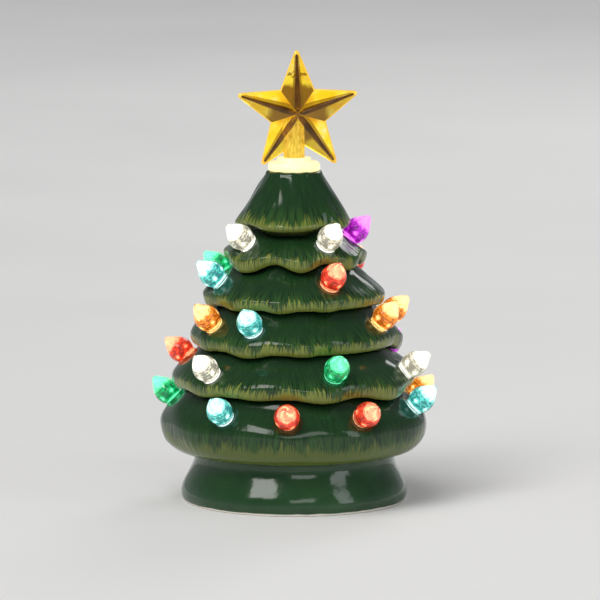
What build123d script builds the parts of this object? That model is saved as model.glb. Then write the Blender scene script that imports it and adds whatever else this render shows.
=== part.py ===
# A table-top ceramic Christmas tree lit from inside by a battery lamp.
# The frame is +Z up with the origin in the middle of the foot, and the star faces -Y.
# All lengths are in millimetres and all angles in degrees.
from math import cos, exp, radians, sin
import os

from build123d import *

os.makedirs("parts", exist_ok=True)

# Fits and cutting room shared by the pieces
OVERRUN = 3.0  # how far a cutting shape runs past what it cuts
SLIP_FIT = 0.15  # room round a peg or a stem in its hole
MOULD_GAP = 0.3  # room between moulded pieces that pass each other
PIN_FIT = 0.06  # running room round the hinge pin
FULL_TURN = 360.0

# Ceramic base
BASE_H = 20.0
FOOT_R = 43.6
BELLY_R = 44.5
BELLY_Z = 2.2
FLANK_R = 41.7
FLANK_Z = 11.0
SHOULDER_R = 39.5
SHOULDER_ROUND = 1.2
BASE_FOOT_ANGLE = 58
BASE_SHOULDER_ANGLE = 104
BASE_BORE_R = 36.6
DECK_T = 3.2
RING_R = 35.2
RING_T = 3.2
RING_H = 4.5

# Ceramic tree, from the deck of the base to the flat under the star
TREE_H = 110.4
TREE_R = 52.6
TREE_TOP_R = 11.2
TOP_ROUND = 1.4
TREE_FOOT_LAND_R = 43.4
TREE_MOUTH_R = 36.6
WALL = 3.8
TOP_T = 5.0
LIP_TUCK = 2.6
LIP_OVERHANG = 2.8

# Tiers from the top down: how far their wavy edges rise and swell, and what share of the tree they take
LOBE_RISES = (1.8, 4.2, 4.2, 4.2, 4.2)
LOBE_SWELLS = (1.5, 2.6, 1.5, 3.2, 1.8, 1.5)
LIP_LIFTS = (2.2, 0, 0, 0, 0)
TIER_WIDE_Z_SHARES = (0.822, 0.708, 0.558, 0.408, 0.259, 0.104)
TIER_WIDE_R_SHARES = (0.425, 0.540, 0.692, 0.806, 0.924, 1.0)
TIER_LIP_Z_SHARES = (0.787, 0.668, 0.513, 0.362, 0.214)
CONE_SHARES = (0.25, 0.6, 1.0)
CONE_BULGE_SHARES = (0.02, 0.015, 0.0)
WIDE_RISE_SHARE = 0.55
EDGE_Z_SHARE = 0.4
EDGE_R_SHARE = 0.35
FOOT_ANGLES = (28, 58)
FACE_SHARES = (1.0, 0.88, 0.68, 0.42, 0.2)
FACE_BULGES = (1.05, 1.1, 1.3, 1.5, 1.6)
SEAT_SHARE = 0.42
RIGHT_ANGLE = 90
ARCH_HALF_WIDTH = 17.0
RING_POINTS = 40

# Bulbs by row from the top down: azimuth from the front, positive to the right, tilt and colour
BULB_ROWS = (
    ((-57, 38, "white"), (35, 48, "white"), (100, 45, "purple"), (168, 44, "green"), (-140, 44, "red")),
    ((-110, 42, "green"), (-76, 41, "blue"), (29, 48, "red"), (134, 46, "red"), (178, 44, "amber"),
     (-146, 44, "purple")),
    ((-59, 45, "amber"), (-26, 46, "blue"), (65, 49, "amber"), (98, 42, "amber"), (140, 44, "red"),
     (180, 44, "white"), (-138, 44, "green")),
    ((-106, 34, "red"), (-46, 42, "white"), (21, 42, "green"), (74, 36, "white"), (126, 44, "purple"),
     (168, 44, "blue"), (-148, 44, "amber")),
    ((-102, 44, "green"), (-34, 42, "blue"), (-3, 27, "red"), (33, 24, "red"), (76, 44, "blue"),
     (104, 46, "amber"), (144, 44, "white"), (180, 44, "green"), (-142, 44, "purple")),
)
# Shares of the way down the tiers' faces to the seats of the bulbs, in the same order
SEAT_SHARES = (
    (0.42, 0.42, 0.42, 0.42, 0.42),
    (0.42, 0.50, 0.42, 0.42, 0.42, 0.42),
    (0.42, 0.42, 0.42, 0.42, 0.42, 0.42, 0.42),
    (0.42, 0.53, 0.42, 0.60, 0.42, 0.42, 0.42),
    (0.42, 0.42, 0.42, 0.42, 0.42, 0.42, 0.42, 0.42, 0.42),
)
# Arches of each lower edge that have no bulb under them
BARE_ARCHES = ((), (-17, 78), (7, 38, -96), (-10, 48, -78), (-68,))
FOOT_LOBES = (-150, -104, -62, -22, 14, 52, 96, 140)

# One plastic bulb
BULB_R = 5.0
BULB_L = 12.6
BULB_BELLY_SHARE = 0.37
BULB_SHOULDER_Z_SHARE = 0.714
BULB_SHOULDER_R_SHARE = 0.67
BULB_TIP_R = 0.5
BULB_NECK_ANGLE = 48
BULB_TIP_ANGLE = 139
BULB_NECK_R = 3.5
BULB_FLANGE_R = 4.0
BULB_FLANGE_T = 0.8
PEG_R = 2.4
PEG_L = 5.4
SEAT_DEPTH = 0.7
SEAT_ROOM = 0.4

# Star and the stepped collar that it stands in
STAR_R = 26.2
STAR_INNER_SHARE = 0.435
STAR_DEPTH = 11.0
STAR_RIM_T = 2.4
STAR_TIP_ROUND = 1.0
STAR_LEAN = 1.3
STAR_SIDE = 1.5
STAR_POINTS = 5
STEM_R = 4.2
STEM_BORE_R = 3.0
STEM_IN = 5.0
STAR_CENTRE_UP = 22.6
COLLAR_R = 10.2
COLLAR_H = 3.6
COLLAR_STEP_R = 6.6
COLLAR_STEP_H = 1.6
COLLAR_ROUND = 1.6
COLLAR_PEG_R = 6.0
COLLAR_PEG_L = 7.0

# Battery case in the base
CASE_GAP = 0.5
FLANGE_LIFT = 2.0
FLANGE_T = 2.0
BAY_WALL = 1.4
BAY_ROOF_T = 1.2
BAY_SIDE_ROOM = 0.5
CELL_R = 5.25
CELL_L = 44.5
CELL_NUB_R = 1.9
CELL_NUB_L = 1.0
CELL_COUNT = 3
CELL_PITCH = 11.5
RIB_T = 0.5
RIB_H = 5.0
SPRING_L = 4.6
SPRING_R = 3.4
SPRING_WIRE_R = 0.3
SPRING_TURNS = 4
TURN_STEPS = 8
PLATE_T = 0.4
PLATE_W = 8.0
PLATE_H = 8.4
END_PLAY = 0.08
DOOR_T = 1.4
BEAD_W = 2.8
BEAD_H = 2.4

# Hinge of the battery door
HINGE_PIN_R = 0.7
BARREL_R = 1.4
BARREL_L = 39.4
LUG_R = 1.6
LUG_L = 3.0
THUMB_R = 7.0
THUMB_DEPTH = 0.7

# Slide switch
SWITCH_Y = 24.6
SWITCH_L = 10.4
SWITCH_W = 5.6
SWITCH_H = 5.0
SWITCH_WALL = 0.9
KNOB_HEAD_L = 3.6
KNOB_HEAD_H = 2.2
KNOB_STEM_L = 2.2
KNOB_STEM_W = 1.8
KNOB_REACH = 1.3
KNOB_TRAVEL = 3.0

# Lamp board
BOARD_R = 22.0
BOARD_T = 1.6
BOSS_R = 2.6
BOSS_H = 1.4
BOSS_X = 18.0
SCREW_R = 1.0
SCREW_L = 4.0
SCREW_HEAD_R = 1.9
SCREW_HEAD_H = 1.3
SCREW_SLOT_W = 0.5
SCREW_SLOT_DEPTH = 0.5
LED_COUNT = 3
LED_PLACE_R = 9.0
LED_R = 2.5
LED_H = 8.6
LED_RIM_R = 2.9
LED_RIM_H = 1.0
RESISTOR_L = 3.2
RESISTOR_W = 1.6
RESISTOR_T = 0.6
RESISTOR_Y = 15.0

# Heights and sizes that follow from the values above
TREE_TOP_Z = BASE_H + TREE_H
RING_BORE_R = RING_R - RING_T
CASE_R = BASE_BORE_R - CASE_GAP
FLANGE_TOP_Z = FLANGE_LIFT + FLANGE_T
BAY_L = CELL_L + SPRING_L + 2 * (PLATE_T + END_PLAY)
BAY_W = 2 * (CELL_PITCH + CELL_R + BAY_SIDE_ROOM)
CELL_Z = FLANGE_LIFT + DOOR_T + MOULD_GAP + CELL_R
BAY_TOP_Z = CELL_Z + CELL_R + MOULD_GAP
CASE_TOP_Z = BAY_TOP_Z + BAY_ROOF_T
BOARD_Z = CASE_TOP_Z + BOSS_H
BOARD_TOP_Z = BOARD_Z + BOARD_T
HINGE_Y = -BAY_W / 2 - BARREL_R + DOOR_T / 2
HINGE_Z = FLANGE_LIFT + DOOR_T / 2
NOTCH_L = BARREL_L + 2 * MOULD_GAP
NOTCH_R = BARREL_R + MOULD_GAP
STAR_CENTRE_Z = TREE_TOP_Z + STAR_CENTRE_UP


def wide_z(tier):
    """Height of the widest ring of a tier."""
    return BASE_H + TREE_H * TIER_WIDE_Z_SHARES[tier]


def wide_r(tier):
    """Mean radius of the widest ring of a tier."""
    return TREE_R * TIER_WIDE_R_SHARES[tier]


def lip_z(tier):
    """Mean height of the lower edge of a tier."""
    return BASE_H + TREE_H * TIER_LIP_Z_SHARES[tier]


def valley_r(tier):
    """Radius of the hollow under the lower edge of a tier."""
    return wide_r(tier) - LIP_TUCK - LIP_OVERHANG


def face_place(tier, share):
    """Radius and height at a share of the way from the hollow above a tier to its widest ring."""
    spread = wide_r(tier) - valley_r(tier - 1)
    radius = valley_r(tier - 1) + spread * (1 - (1 - share) ** FACE_BULGES[tier - 1])
    height = lip_z(tier - 1) + (wide_z(tier) - lip_z(tier - 1)) * share
    return radius, height


def arch(places, azimuth):
    """1 over the middle of an arch of a wavy edge, and near 0 at the boughs between."""
    total = 0
    for place in places:
        turn = (azimuth - place + FULL_TURN / 2) % FULL_TURN - FULL_TURN / 2
        total += exp(-((turn / ARCH_HALF_WIDTH) ** 2))
    return min(total, 1)


def arch_places(tier):
    """Azimuths of the arches of one lower edge."""
    return [place for place, tilt, colour in BULB_ROWS[tier]] + list(BARE_ARCHES[tier])


def round_ring(radius, height, places, swell, rise):
    """A closed wavy ring, pulled in and lifted over each arch."""
    points = []
    for step in range(RING_POINTS):
        azimuth = FULL_TURN * step / RING_POINTS
        wave = 2 * arch(places, azimuth) - 1
        reach = radius - swell * wave / 2
        points.append(
            (reach * sin(radians(azimuth)), -reach * cos(radians(azimuth)), height + rise * wave / 2)
        )
    with BuildLine() as ring:
        Spline(*points, periodic=True)
    return Wire(ring.edges())


def foot_rings():
    """The rings of the lowest tier, from the land that rests on the base to the widest ring."""
    last = len(TIER_WIDE_Z_SHARES) - 1
    rings = [round_ring(TREE_FOOT_LAND_R, BASE_H, (), 0, 0)]
    for angle in FOOT_ANGLES:
        reach = TREE_FOOT_LAND_R + (wide_r(last) - TREE_FOOT_LAND_R) * sin(radians(angle))
        height = wide_z(last) - (wide_z(last) - BASE_H) * cos(radians(angle))
        rings.append(round_ring(reach, height, FOOT_LOBES, LOBE_SWELLS[last] * sin(radians(angle)), 0))
    return rings


def tier_rings(tier):
    """The rings from the widest ring of a tier up to the lower edge of the tier above."""
    above = tier - 1
    own_places = FOOT_LOBES
    own_rise = 0
    if tier < len(TIER_LIP_Z_SHARES):
        own_places = arch_places(tier)
        own_rise = LOBE_RISES[tier] * WIDE_RISE_SHARE
    rings = []
    for share in FACE_SHARES:
        reach, height = face_place(tier, share)
        fade = max(0, (share - SEAT_SHARE) / (1 - SEAT_SHARE))
        rings.append(round_ring(reach, height, own_places, LOBE_SWELLS[tier] * fade, own_rise * fade))
    places = arch_places(above)
    swell = LOBE_SWELLS[above]
    rise = LOBE_RISES[above]
    under_z = lip_z(above) + LIP_LIFTS[above]
    edge_z = under_z + (wide_z(above) - under_z) * EDGE_Z_SHARE
    edge_rise = rise * (1 - EDGE_Z_SHARE * (1 - WIDE_RISE_SHARE))
    rings.append(round_ring(valley_r(above), lip_z(above), places, 0, rise))
    rings.append(round_ring(wide_r(above) - LIP_TUCK, under_z, places, swell, rise))
    rings.append(round_ring(wide_r(above) - LIP_TUCK * EDGE_R_SHARE, edge_z, places, swell, edge_rise))
    return rings


def top_rings():
    """The rings of the top tier, from its widest ring to the flat under the star."""
    edge_rise = LOBE_RISES[0] * WIDE_RISE_SHARE
    rings = [round_ring(wide_r(0), wide_z(0), arch_places(0), LOBE_SWELLS[0], edge_rise)]
    for share, bulge in zip(CONE_SHARES, CONE_BULGE_SHARES):
        reach = wide_r(0) + (TREE_TOP_R - wide_r(0)) * (share - bulge)
        height = wide_z(0) + (TREE_TOP_Z - TOP_ROUND - wide_z(0)) * share
        rings.append(round_ring(reach, height, (), 0, 0))
    rings.append(round_ring(TREE_TOP_R - TOP_ROUND, TREE_TOP_Z, (), 0, 0))
    return rings


def tree_rings():
    """All the rings of the tree's outer face, from its foot to its top."""
    rings = foot_rings()
    for tier in range(len(TIER_WIDE_Z_SHARES) - 1, 0, -1):
        rings += tier_rings(tier)
    return rings + top_rings()


def bulb_plane(row, place):
    """The plane of a bulb's seat, its origin on the seat and its normal along the bulb."""
    azimuth, tilt, colour = BULB_ROWS[row][place]
    seat_r, seat_z = face_place(row + 1, SEAT_SHARES[row][place])
    flat = cos(radians(tilt))
    out = Vector(sin(radians(azimuth)) * flat, -cos(radians(azimuth)) * flat, sin(radians(tilt)))
    side = Vector(cos(radians(azimuth)), sin(radians(azimuth)), 0)
    face = Vector(seat_r * sin(radians(azimuth)), -seat_r * cos(radians(azimuth)), seat_z)
    return Plane(origin=face - out * SEAT_DEPTH, x_dir=side, z_dir=out)


# Ceramic base: a glazed ring with a flat foot, a deck and a ring that locates the tree
with BuildPart() as base_shell:
    with BuildSketch(Plane.XZ):
        with BuildLine():
            foot = Line((BASE_BORE_R, 0), (FOOT_R, 0))
            belly = Spline(
                foot @ 1,
                (BELLY_R, BELLY_Z),
                (FLANK_R, FLANK_Z),
                (SHOULDER_R, BASE_H - SHOULDER_ROUND),
                tangents=(
                    (cos(radians(BASE_FOOT_ANGLE)), sin(radians(BASE_FOOT_ANGLE))),
                    (cos(radians(BASE_SHOULDER_ANGLE)), sin(radians(BASE_SHOULDER_ANGLE))),
                ),
            )
            shoulder = TangentArc(
                belly @ 1, (SHOULDER_R - SHOULDER_ROUND, BASE_H), tangent=belly % 1
            )
            Polyline(
                shoulder @ 1,
                (RING_R, BASE_H),
                (RING_R, BASE_H + RING_H),
                (RING_BORE_R, BASE_H + RING_H),
                (RING_BORE_R, BASE_H - DECK_T),
                (BASE_BORE_R, BASE_H - DECK_T),
                foot @ 0,
            )
        make_face()
    revolve(axis=Axis.Z)
base_shell.part.label = "base_shell"
export_step(base_shell.part, "parts/base_shell.step")

# Ceramic tree: six lobed tiers round a hollow, drilled for the bulbs and for the star's collar
tree_body = Solid.make_loft(tree_rings(), ruled=True)
with BuildPart() as tree_shell:
    add(tree_body)
    with BuildSketch(Plane.XZ):
        with BuildLine():
            inner = [(0, BASE_H), (TREE_MOUTH_R, BASE_H), (TREE_MOUTH_R, BASE_H + RING_H)]
            for tier in range(len(TIER_WIDE_Z_SHARES) - 1, 0, -1):
                seat_r, seat_z = face_place(tier, SEAT_SHARE)
                inner.append((wide_r(tier) - WALL - LOBE_SWELLS[tier], wide_z(tier)))
                inner.append((seat_r - WALL, seat_z - WALL / 2))
                inner.append((valley_r(tier - 1) - WALL, lip_z(tier - 1)))
            inner.append((wide_r(0) - WALL - LOBE_SWELLS[0], wide_z(0)))
            inner.append((COLLAR_PEG_R + SLIP_FIT, TREE_TOP_Z - TOP_T))
            inner.append((0, TREE_TOP_Z - TOP_T))
            Polyline(*inner, close=True)
        make_face()
    revolve(axis=Axis.Z, mode=Mode.SUBTRACT)
    with Locations((0, 0, TREE_TOP_Z)):
        Hole(radius=COLLAR_PEG_R + SLIP_FIT, depth=TOP_T + OVERRUN)
    seats = []
    for row, bulbs in enumerate(BULB_ROWS):
        for place in range(len(bulbs)):
            seats.append(bulb_plane(row, place))
    with Locations(*seats):
        CounterBoreHole(
            radius=PEG_R + SLIP_FIT,
            counter_bore_radius=BULB_FLANGE_R + SEAT_ROOM,
            counter_bore_depth=0,
            depth=WALL + OVERRUN + OVERRUN,
        )
tree_shell.part.label = "tree_shell"
export_step(tree_shell.part, "parts/tree_shell.step")

# Plastic bulbs: a flame-shaped body on a small flange, with a peg that plugs the hole
for row, bulbs in enumerate(BULB_ROWS):
    for place, (azimuth, tilt, colour) in enumerate(bulbs):
        seat = bulb_plane(row, place)
        section = Plane(origin=seat.origin, x_dir=seat.x_dir, z_dir=seat.x_dir.cross(seat.z_dir))
        with BuildPart() as bulb:
            with BuildSketch(section):
                with BuildLine():
                    stalk = Polyline(
                        (BULB_TIP_R, BULB_L),
                        (0, BULB_L),
                        (0, -PEG_L),
                        (PEG_R, -PEG_L),
                        (PEG_R, 0),
                        (BULB_FLANGE_R, 0),
                        (BULB_FLANGE_R, BULB_FLANGE_T),
                        (BULB_NECK_R, BULB_FLANGE_T),
                    )
                    Spline(
                        stalk @ 1,
                        (BULB_R, BULB_L * BULB_BELLY_SHARE),
                        (BULB_R * BULB_SHOULDER_R_SHARE, BULB_L * BULB_SHOULDER_Z_SHARE),
                        stalk @ 0,
                        tangents=(
                            (cos(radians(BULB_NECK_ANGLE)), sin(radians(BULB_NECK_ANGLE))),
                            (cos(radians(BULB_TIP_ANGLE)), sin(radians(BULB_TIP_ANGLE))),
                        ),
                    )
                make_face()
            revolve(axis=Axis(seat.origin, seat.z_dir))
        bulb.part.label = f"bulb_{row + 1}_{place + 1}_{colour}"
        export_step(bulb.part, f"parts/bulb_{row + 1}_{place + 1}_{colour}.step")

# Stepped collar that plugs the top of the tree and carries the star
with BuildPart() as star_collar:
    with BuildSketch(Plane.XZ):
        with BuildLine():
            Polyline(
                (STEM_R + SLIP_FIT, TREE_TOP_Z - COLLAR_PEG_L),
                (COLLAR_PEG_R, TREE_TOP_Z - COLLAR_PEG_L),
                (COLLAR_PEG_R, TREE_TOP_Z),
                (COLLAR_R, TREE_TOP_Z),
                (COLLAR_R, TREE_TOP_Z + COLLAR_H),
                (COLLAR_STEP_R, TREE_TOP_Z + COLLAR_H),
                (COLLAR_STEP_R, TREE_TOP_Z + COLLAR_H + COLLAR_STEP_H),
                (STEM_R + SLIP_FIT, TREE_TOP_Z + COLLAR_H + COLLAR_STEP_H),
                close=True,
            )
        make_face()
    revolve(axis=Axis.Z)
    crown_edges = star_collar.edges().filter_by(GeomType.CIRCLE).filter_by(
        lambda edge: edge.center().Z > TREE_TOP_Z and edge.radius > STEM_R + SLIP_FIT + COLLAR_ROUND
    )
    outer_edge = crown_edges.group_by(lambda edge: edge.radius)[-1].sort_by(Axis.Z)[-1]
    fillet(outer_edge, radius=COLLAR_ROUND)
star_collar.part.label = "star_collar"
export_step(star_collar.part, "parts/star_collar.step")

# Five-pointed faceted star on a hollow stem
with BuildPart() as star:
    star_plane = Plane(
        origin=(STAR_SIDE, 0, STAR_CENTRE_Z),
        x_dir=(cos(radians(STAR_LEAN)), 0, sin(radians(STAR_LEAN))),
        z_dir=(0, -1, 0),
    )
    outline = []
    for corner in range(2 * STAR_POINTS):
        reach = STAR_R if corner % 2 == 0 else STAR_R * STAR_INNER_SHARE
        turn = RIGHT_ANGLE + FULL_TURN * corner / (2 * STAR_POINTS)
        outline.append((reach * cos(radians(turn)), reach * sin(radians(turn))))
    for side in (-1, 1):
        with BuildSketch(star_plane.offset(side * STAR_RIM_T / 2)) as rim:
            with BuildLine():
                Polyline(*outline, close=True)
            make_face()
            tips = rim.vertices().sort_by(lambda corner: corner.center().length)[-STAR_POINTS:]
            fillet(tips, radius=STAR_TIP_ROUND)
        extrude(amount=-side * STAR_RIM_T / 2)
        apex = Vertex(*(star_plane.origin + star_plane.z_dir * (side * STAR_DEPTH / 2)))
        loft(sections=[rim.sketch.faces()[0], apex])
    stem_foot_z = TREE_TOP_Z + COLLAR_H + COLLAR_STEP_H - STEM_IN
    with BuildSketch(Plane.XY.offset(stem_foot_z)):
        Circle(STEM_R)
    extrude(amount=STAR_CENTRE_Z - stem_foot_z)
    with BuildSketch(Plane.XY.offset(stem_foot_z)):
        Circle(STEM_BORE_R)
    extrude(amount=STAR_CENTRE_Z - stem_foot_z - STEM_R, mode=Mode.SUBTRACT)
star.part.label = "star"
export_step(star.part, "parts/star.step")

# Battery case: a round flange in the mouth of the base with a box for three cells on it
with BuildPart() as battery_case:
    with BuildSketch(Plane.XY.offset(FLANGE_LIFT)):
        Circle(CASE_R)
    extrude(amount=FLANGE_T)
    with BuildSketch(Plane.XY.offset(FLANGE_LIFT)):
        Rectangle(BAY_L + 2 * BAY_WALL, BAY_W + 2 * BAY_WALL)
    extrude(amount=CASE_TOP_Z - FLANGE_LIFT)
    with BuildSketch(Plane.XY.offset(CASE_TOP_Z)):
        with Locations((-BOSS_X, 0), (BOSS_X, 0)):
            Circle(BOSS_R)
    extrude(amount=BOSS_H)
    with BuildSketch(Plane.XY.offset(BAY_TOP_Z)):
        Rectangle(BAY_L, BAY_W)
    extrude(amount=-BAY_TOP_Z, mode=Mode.SUBTRACT)
    with BuildSketch(Plane.YZ.offset(-NOTCH_L / 2 - LUG_L)):
        with Locations((HINGE_Y, HINGE_Z)):
            Circle(LUG_R)
    extrude(amount=NOTCH_L + 2 * LUG_L)
    with BuildSketch(Plane.YZ.offset(-NOTCH_L / 2)):
        with Locations((HINGE_Y, HINGE_Z)):
            Rectangle(2 * NOTCH_R, 2 * NOTCH_R)
    extrude(amount=NOTCH_L, mode=Mode.SUBTRACT)
    with BuildSketch(Plane.YZ.offset(-NOTCH_L / 2 - LUG_L)):
        with Locations((HINGE_Y, HINGE_Z)):
            Circle(HINGE_PIN_R + PIN_FIT)
    extrude(amount=NOTCH_L + 2 * LUG_L, mode=Mode.SUBTRACT)
    with BuildSketch(Plane.XY.offset(BAY_TOP_Z)):
        with Locations((0, -CELL_PITCH / 2), (0, CELL_PITCH / 2)):
            Rectangle(BAY_L - 2 * (PLATE_T + SPRING_L), RIB_T)
    extrude(amount=-RIB_H)
    with BuildSketch(Plane.XY.offset(FLANGE_LIFT)):
        with Locations((0, SWITCH_Y)):
            Rectangle(KNOB_STEM_L + KNOB_TRAVEL + 2 * MOULD_GAP, KNOB_STEM_W + 2 * MOULD_GAP)
    extrude(amount=FLANGE_T, mode=Mode.SUBTRACT)
    with Locations((-BOSS_X, 0, BOARD_Z), (BOSS_X, 0, BOARD_Z)):
        Hole(radius=SCREW_R + PIN_FIT, depth=BOSS_H + BAY_ROOF_T)
battery_case.part.label = "battery_case"
export_step(battery_case.part, "parts/battery_case.step")

# Silicone bead that bonds the case's flange into the base
with BuildPart() as silicone_bead:
    with BuildSketch(Plane.XZ):
        with BuildLine():
            Polyline(
                (BASE_BORE_R - BEAD_W, FLANGE_TOP_Z),
                (BASE_BORE_R, FLANGE_TOP_Z),
                (BASE_BORE_R, FLANGE_TOP_Z + BEAD_H),
                close=True,
            )
        make_face()
    revolve(axis=Axis.Z)
silicone_bead.part.label = "silicone_bead"
export_step(silicone_bead.part, "parts/silicone_bead.step")

# Battery door: a plate with a barrel on the hinge pin and a thumb hollow at its free edge
with BuildPart() as battery_door:
    door_back_y = HINGE_Y + LUG_R + MOULD_GAP
    door_front_y = BAY_W / 2 - MOULD_GAP
    with BuildSketch(Plane.XY.offset(FLANGE_LIFT)):
        with Locations((0, (door_back_y + door_front_y) / 2)):
            Rectangle(BAY_L - 2 * MOULD_GAP, door_front_y - door_back_y)
        with Locations((0, (HINGE_Y + door_back_y) / 2)):
            Rectangle(BARREL_L, door_back_y - HINGE_Y)
    extrude(amount=DOOR_T)
    with BuildSketch(Plane.YZ.offset(-BARREL_L / 2)):
        with Locations((HINGE_Y, HINGE_Z)):
            Circle(BARREL_R)
    extrude(amount=BARREL_L)
    with BuildSketch(Plane.YZ.offset(-BARREL_L / 2)):
        with Locations((HINGE_Y, HINGE_Z)):
            Circle(HINGE_PIN_R + PIN_FIT)
    extrude(amount=BARREL_L, mode=Mode.SUBTRACT)
    with BuildSketch(Plane.XY.offset(FLANGE_LIFT)):
        with Locations((0, door_front_y)):
            Circle(THUMB_R)
    extrude(amount=THUMB_DEPTH, mode=Mode.SUBTRACT)
battery_door.part.label = "battery_door"
export_step(battery_door.part, "parts/battery_door.step")

# Steel hinge pin through the case's lugs and the door's barrel
with BuildPart() as hinge_pin:
    with BuildSketch(Plane.YZ.offset(-NOTCH_L / 2 - LUG_L)):
        with Locations((HINGE_Y, HINGE_Z)):
            Circle(HINGE_PIN_R)
    extrude(amount=NOTCH_L + 2 * LUG_L)
hinge_pin.part.label = "hinge_pin"
export_step(hinge_pin.part, "parts/hinge_pin.step")

# Three cells side by side, each turned against its neighbour
for cell in range(CELL_COUNT):
    toward = 1 if cell % 2 == 0 else -1
    cell_y = (cell - 1) * CELL_PITCH
    nub_x = toward * (BAY_L / 2 - PLATE_T - END_PLAY)
    with BuildPart() as battery_cell:
        with BuildSketch(Plane(origin=(nub_x, cell_y, CELL_Z), z_dir=(-toward, 0, 0))):
            Circle(CELL_NUB_R)
        extrude(amount=CELL_NUB_L)
        with BuildSketch(Plane(origin=(nub_x - toward * CELL_NUB_L, cell_y, CELL_Z), z_dir=(-toward, 0, 0))):
            Circle(CELL_R)
        extrude(amount=CELL_L - CELL_NUB_L)
    battery_cell.part.label = f"battery_cell_{cell + 1}"
    export_step(battery_cell.part, f"parts/battery_cell_{cell + 1}.step")

# Contact plates on the end walls: two single ones and two that link neighbouring cells
with BuildPart() as contact_plates:
    for end, places in ((1, (-1, 0)), (1, (1,)), (-1, (0, 1)), (-1, (-1,))):
        plate_w = PLATE_W + CELL_PITCH * (len(places) - 1)
        plate_y = CELL_PITCH * sum(places) / len(places)
        with BuildSketch(Plane.YZ.offset(end * (BAY_L - PLATE_T) / 2 - PLATE_T / 2)):
            with Locations((plate_y, CELL_Z)):
                Rectangle(plate_w, PLATE_H)
        extrude(amount=PLATE_T)
contact_plates.part.label = "contact_plates"
export_step(contact_plates.part, "parts/contact_plates.step")

# Coil springs that press on the flat ends of the cells
with BuildPart() as contact_springs:
    for cell in range(CELL_COUNT):
        toward = 1 if cell % 2 == 0 else -1
        first_x = -toward * (BAY_L / 2 - PLATE_T - SPRING_WIRE_R)
        reach = SPRING_L - 2 * SPRING_WIRE_R - END_PLAY
        cell_y = (cell - 1) * CELL_PITCH
        corners = []
        steps = TURN_STEPS * SPRING_TURNS
        for step in range(steps + 1):
            turn = radians(FULL_TURN * step / TURN_STEPS)
            along = first_x + toward * reach * step / steps
            corners.append(
                (along, cell_y + SPRING_R * cos(turn), CELL_Z + SPRING_R * sin(turn))
            )
        with BuildLine() as coil:
            for step in range(0, steps, 2):
                ThreePointArc(corners[step], corners[step + 1], corners[step + 2])
        with BuildSketch(Plane(origin=coil.line @ 0, z_dir=coil.line % 0)):
            Circle(SPRING_WIRE_R)
        sweep(path=coil.line)
contact_springs.part.label = "contact_springs"
export_step(contact_springs.part, "parts/contact_springs.step")

# Housing of the slide switch, on top of the case's flange
with BuildPart() as switch_housing:
    with BuildSketch(Plane.XY.offset(FLANGE_TOP_Z)):
        with Locations((0, SWITCH_Y)):
            Rectangle(SWITCH_L, SWITCH_W)
    extrude(amount=SWITCH_H)
    with BuildSketch(Plane.XY.offset(FLANGE_TOP_Z)):
        with Locations((0, SWITCH_Y)):
            Rectangle(SWITCH_L - 2 * SWITCH_WALL, SWITCH_W - 2 * SWITCH_WALL)
    extrude(amount=SWITCH_H - SWITCH_WALL, mode=Mode.SUBTRACT)
switch_housing.part.label = "switch_housing"
export_step(switch_housing.part, "parts/switch_housing.step")

# Knob of the slide switch, which reaches down through a slot in the flange
with BuildPart() as switch_knob:
    knob_x = KNOB_TRAVEL / 2
    with BuildSketch(Plane.XY.offset(FLANGE_TOP_Z + MOULD_GAP)):
        with Locations((knob_x, SWITCH_Y)):
            Rectangle(KNOB_HEAD_L, SWITCH_W - 2 * (SWITCH_WALL + MOULD_GAP))
    extrude(amount=KNOB_HEAD_H)
    with BuildSketch(Plane.XY.offset(FLANGE_LIFT - KNOB_REACH)):
        with Locations((knob_x, SWITCH_Y)):
            Rectangle(KNOB_STEM_L, KNOB_STEM_W)
    extrude(amount=KNOB_REACH + FLANGE_T + MOULD_GAP)
switch_knob.part.label = "switch_knob"
export_step(switch_knob.part, "parts/switch_knob.step")

# Lamp board on the case's two bosses
with BuildPart() as circuit_board:
    with BuildSketch(Plane.XY.offset(BOARD_Z)):
        Circle(BOARD_R)
        with Locations((-BOSS_X, 0), (BOSS_X, 0)):
            Circle(SCREW_R + SLIP_FIT, mode=Mode.SUBTRACT)
    extrude(amount=BOARD_T)
circuit_board.part.label = "circuit_board"
export_step(circuit_board.part, "parts/circuit_board.step")

# Two pan-head screws that hold the board
with BuildPart() as board_screws:
    with BuildSketch(Plane.XY.offset(BOARD_TOP_Z)):
        with Locations((-BOSS_X, 0), (BOSS_X, 0)):
            Circle(SCREW_HEAD_R)
    extrude(amount=SCREW_HEAD_H)
    with BuildSketch(Plane.XY.offset(BOARD_TOP_Z)):
        with Locations((-BOSS_X, 0), (BOSS_X, 0)):
            Circle(SCREW_R)
    extrude(amount=-SCREW_L)
    with BuildSketch(Plane.XY.offset(BOARD_TOP_Z + SCREW_HEAD_H)):
        with Locations((-BOSS_X, 0), (BOSS_X, 0)):
            Rectangle(2 * SCREW_HEAD_R, SCREW_SLOT_W)
            Rectangle(SCREW_SLOT_W, 2 * SCREW_HEAD_R)
    extrude(amount=-SCREW_SLOT_DEPTH, mode=Mode.SUBTRACT)
board_screws.part.label = "board_screws"
export_step(board_screws.part, "parts/board_screws.step")

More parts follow.
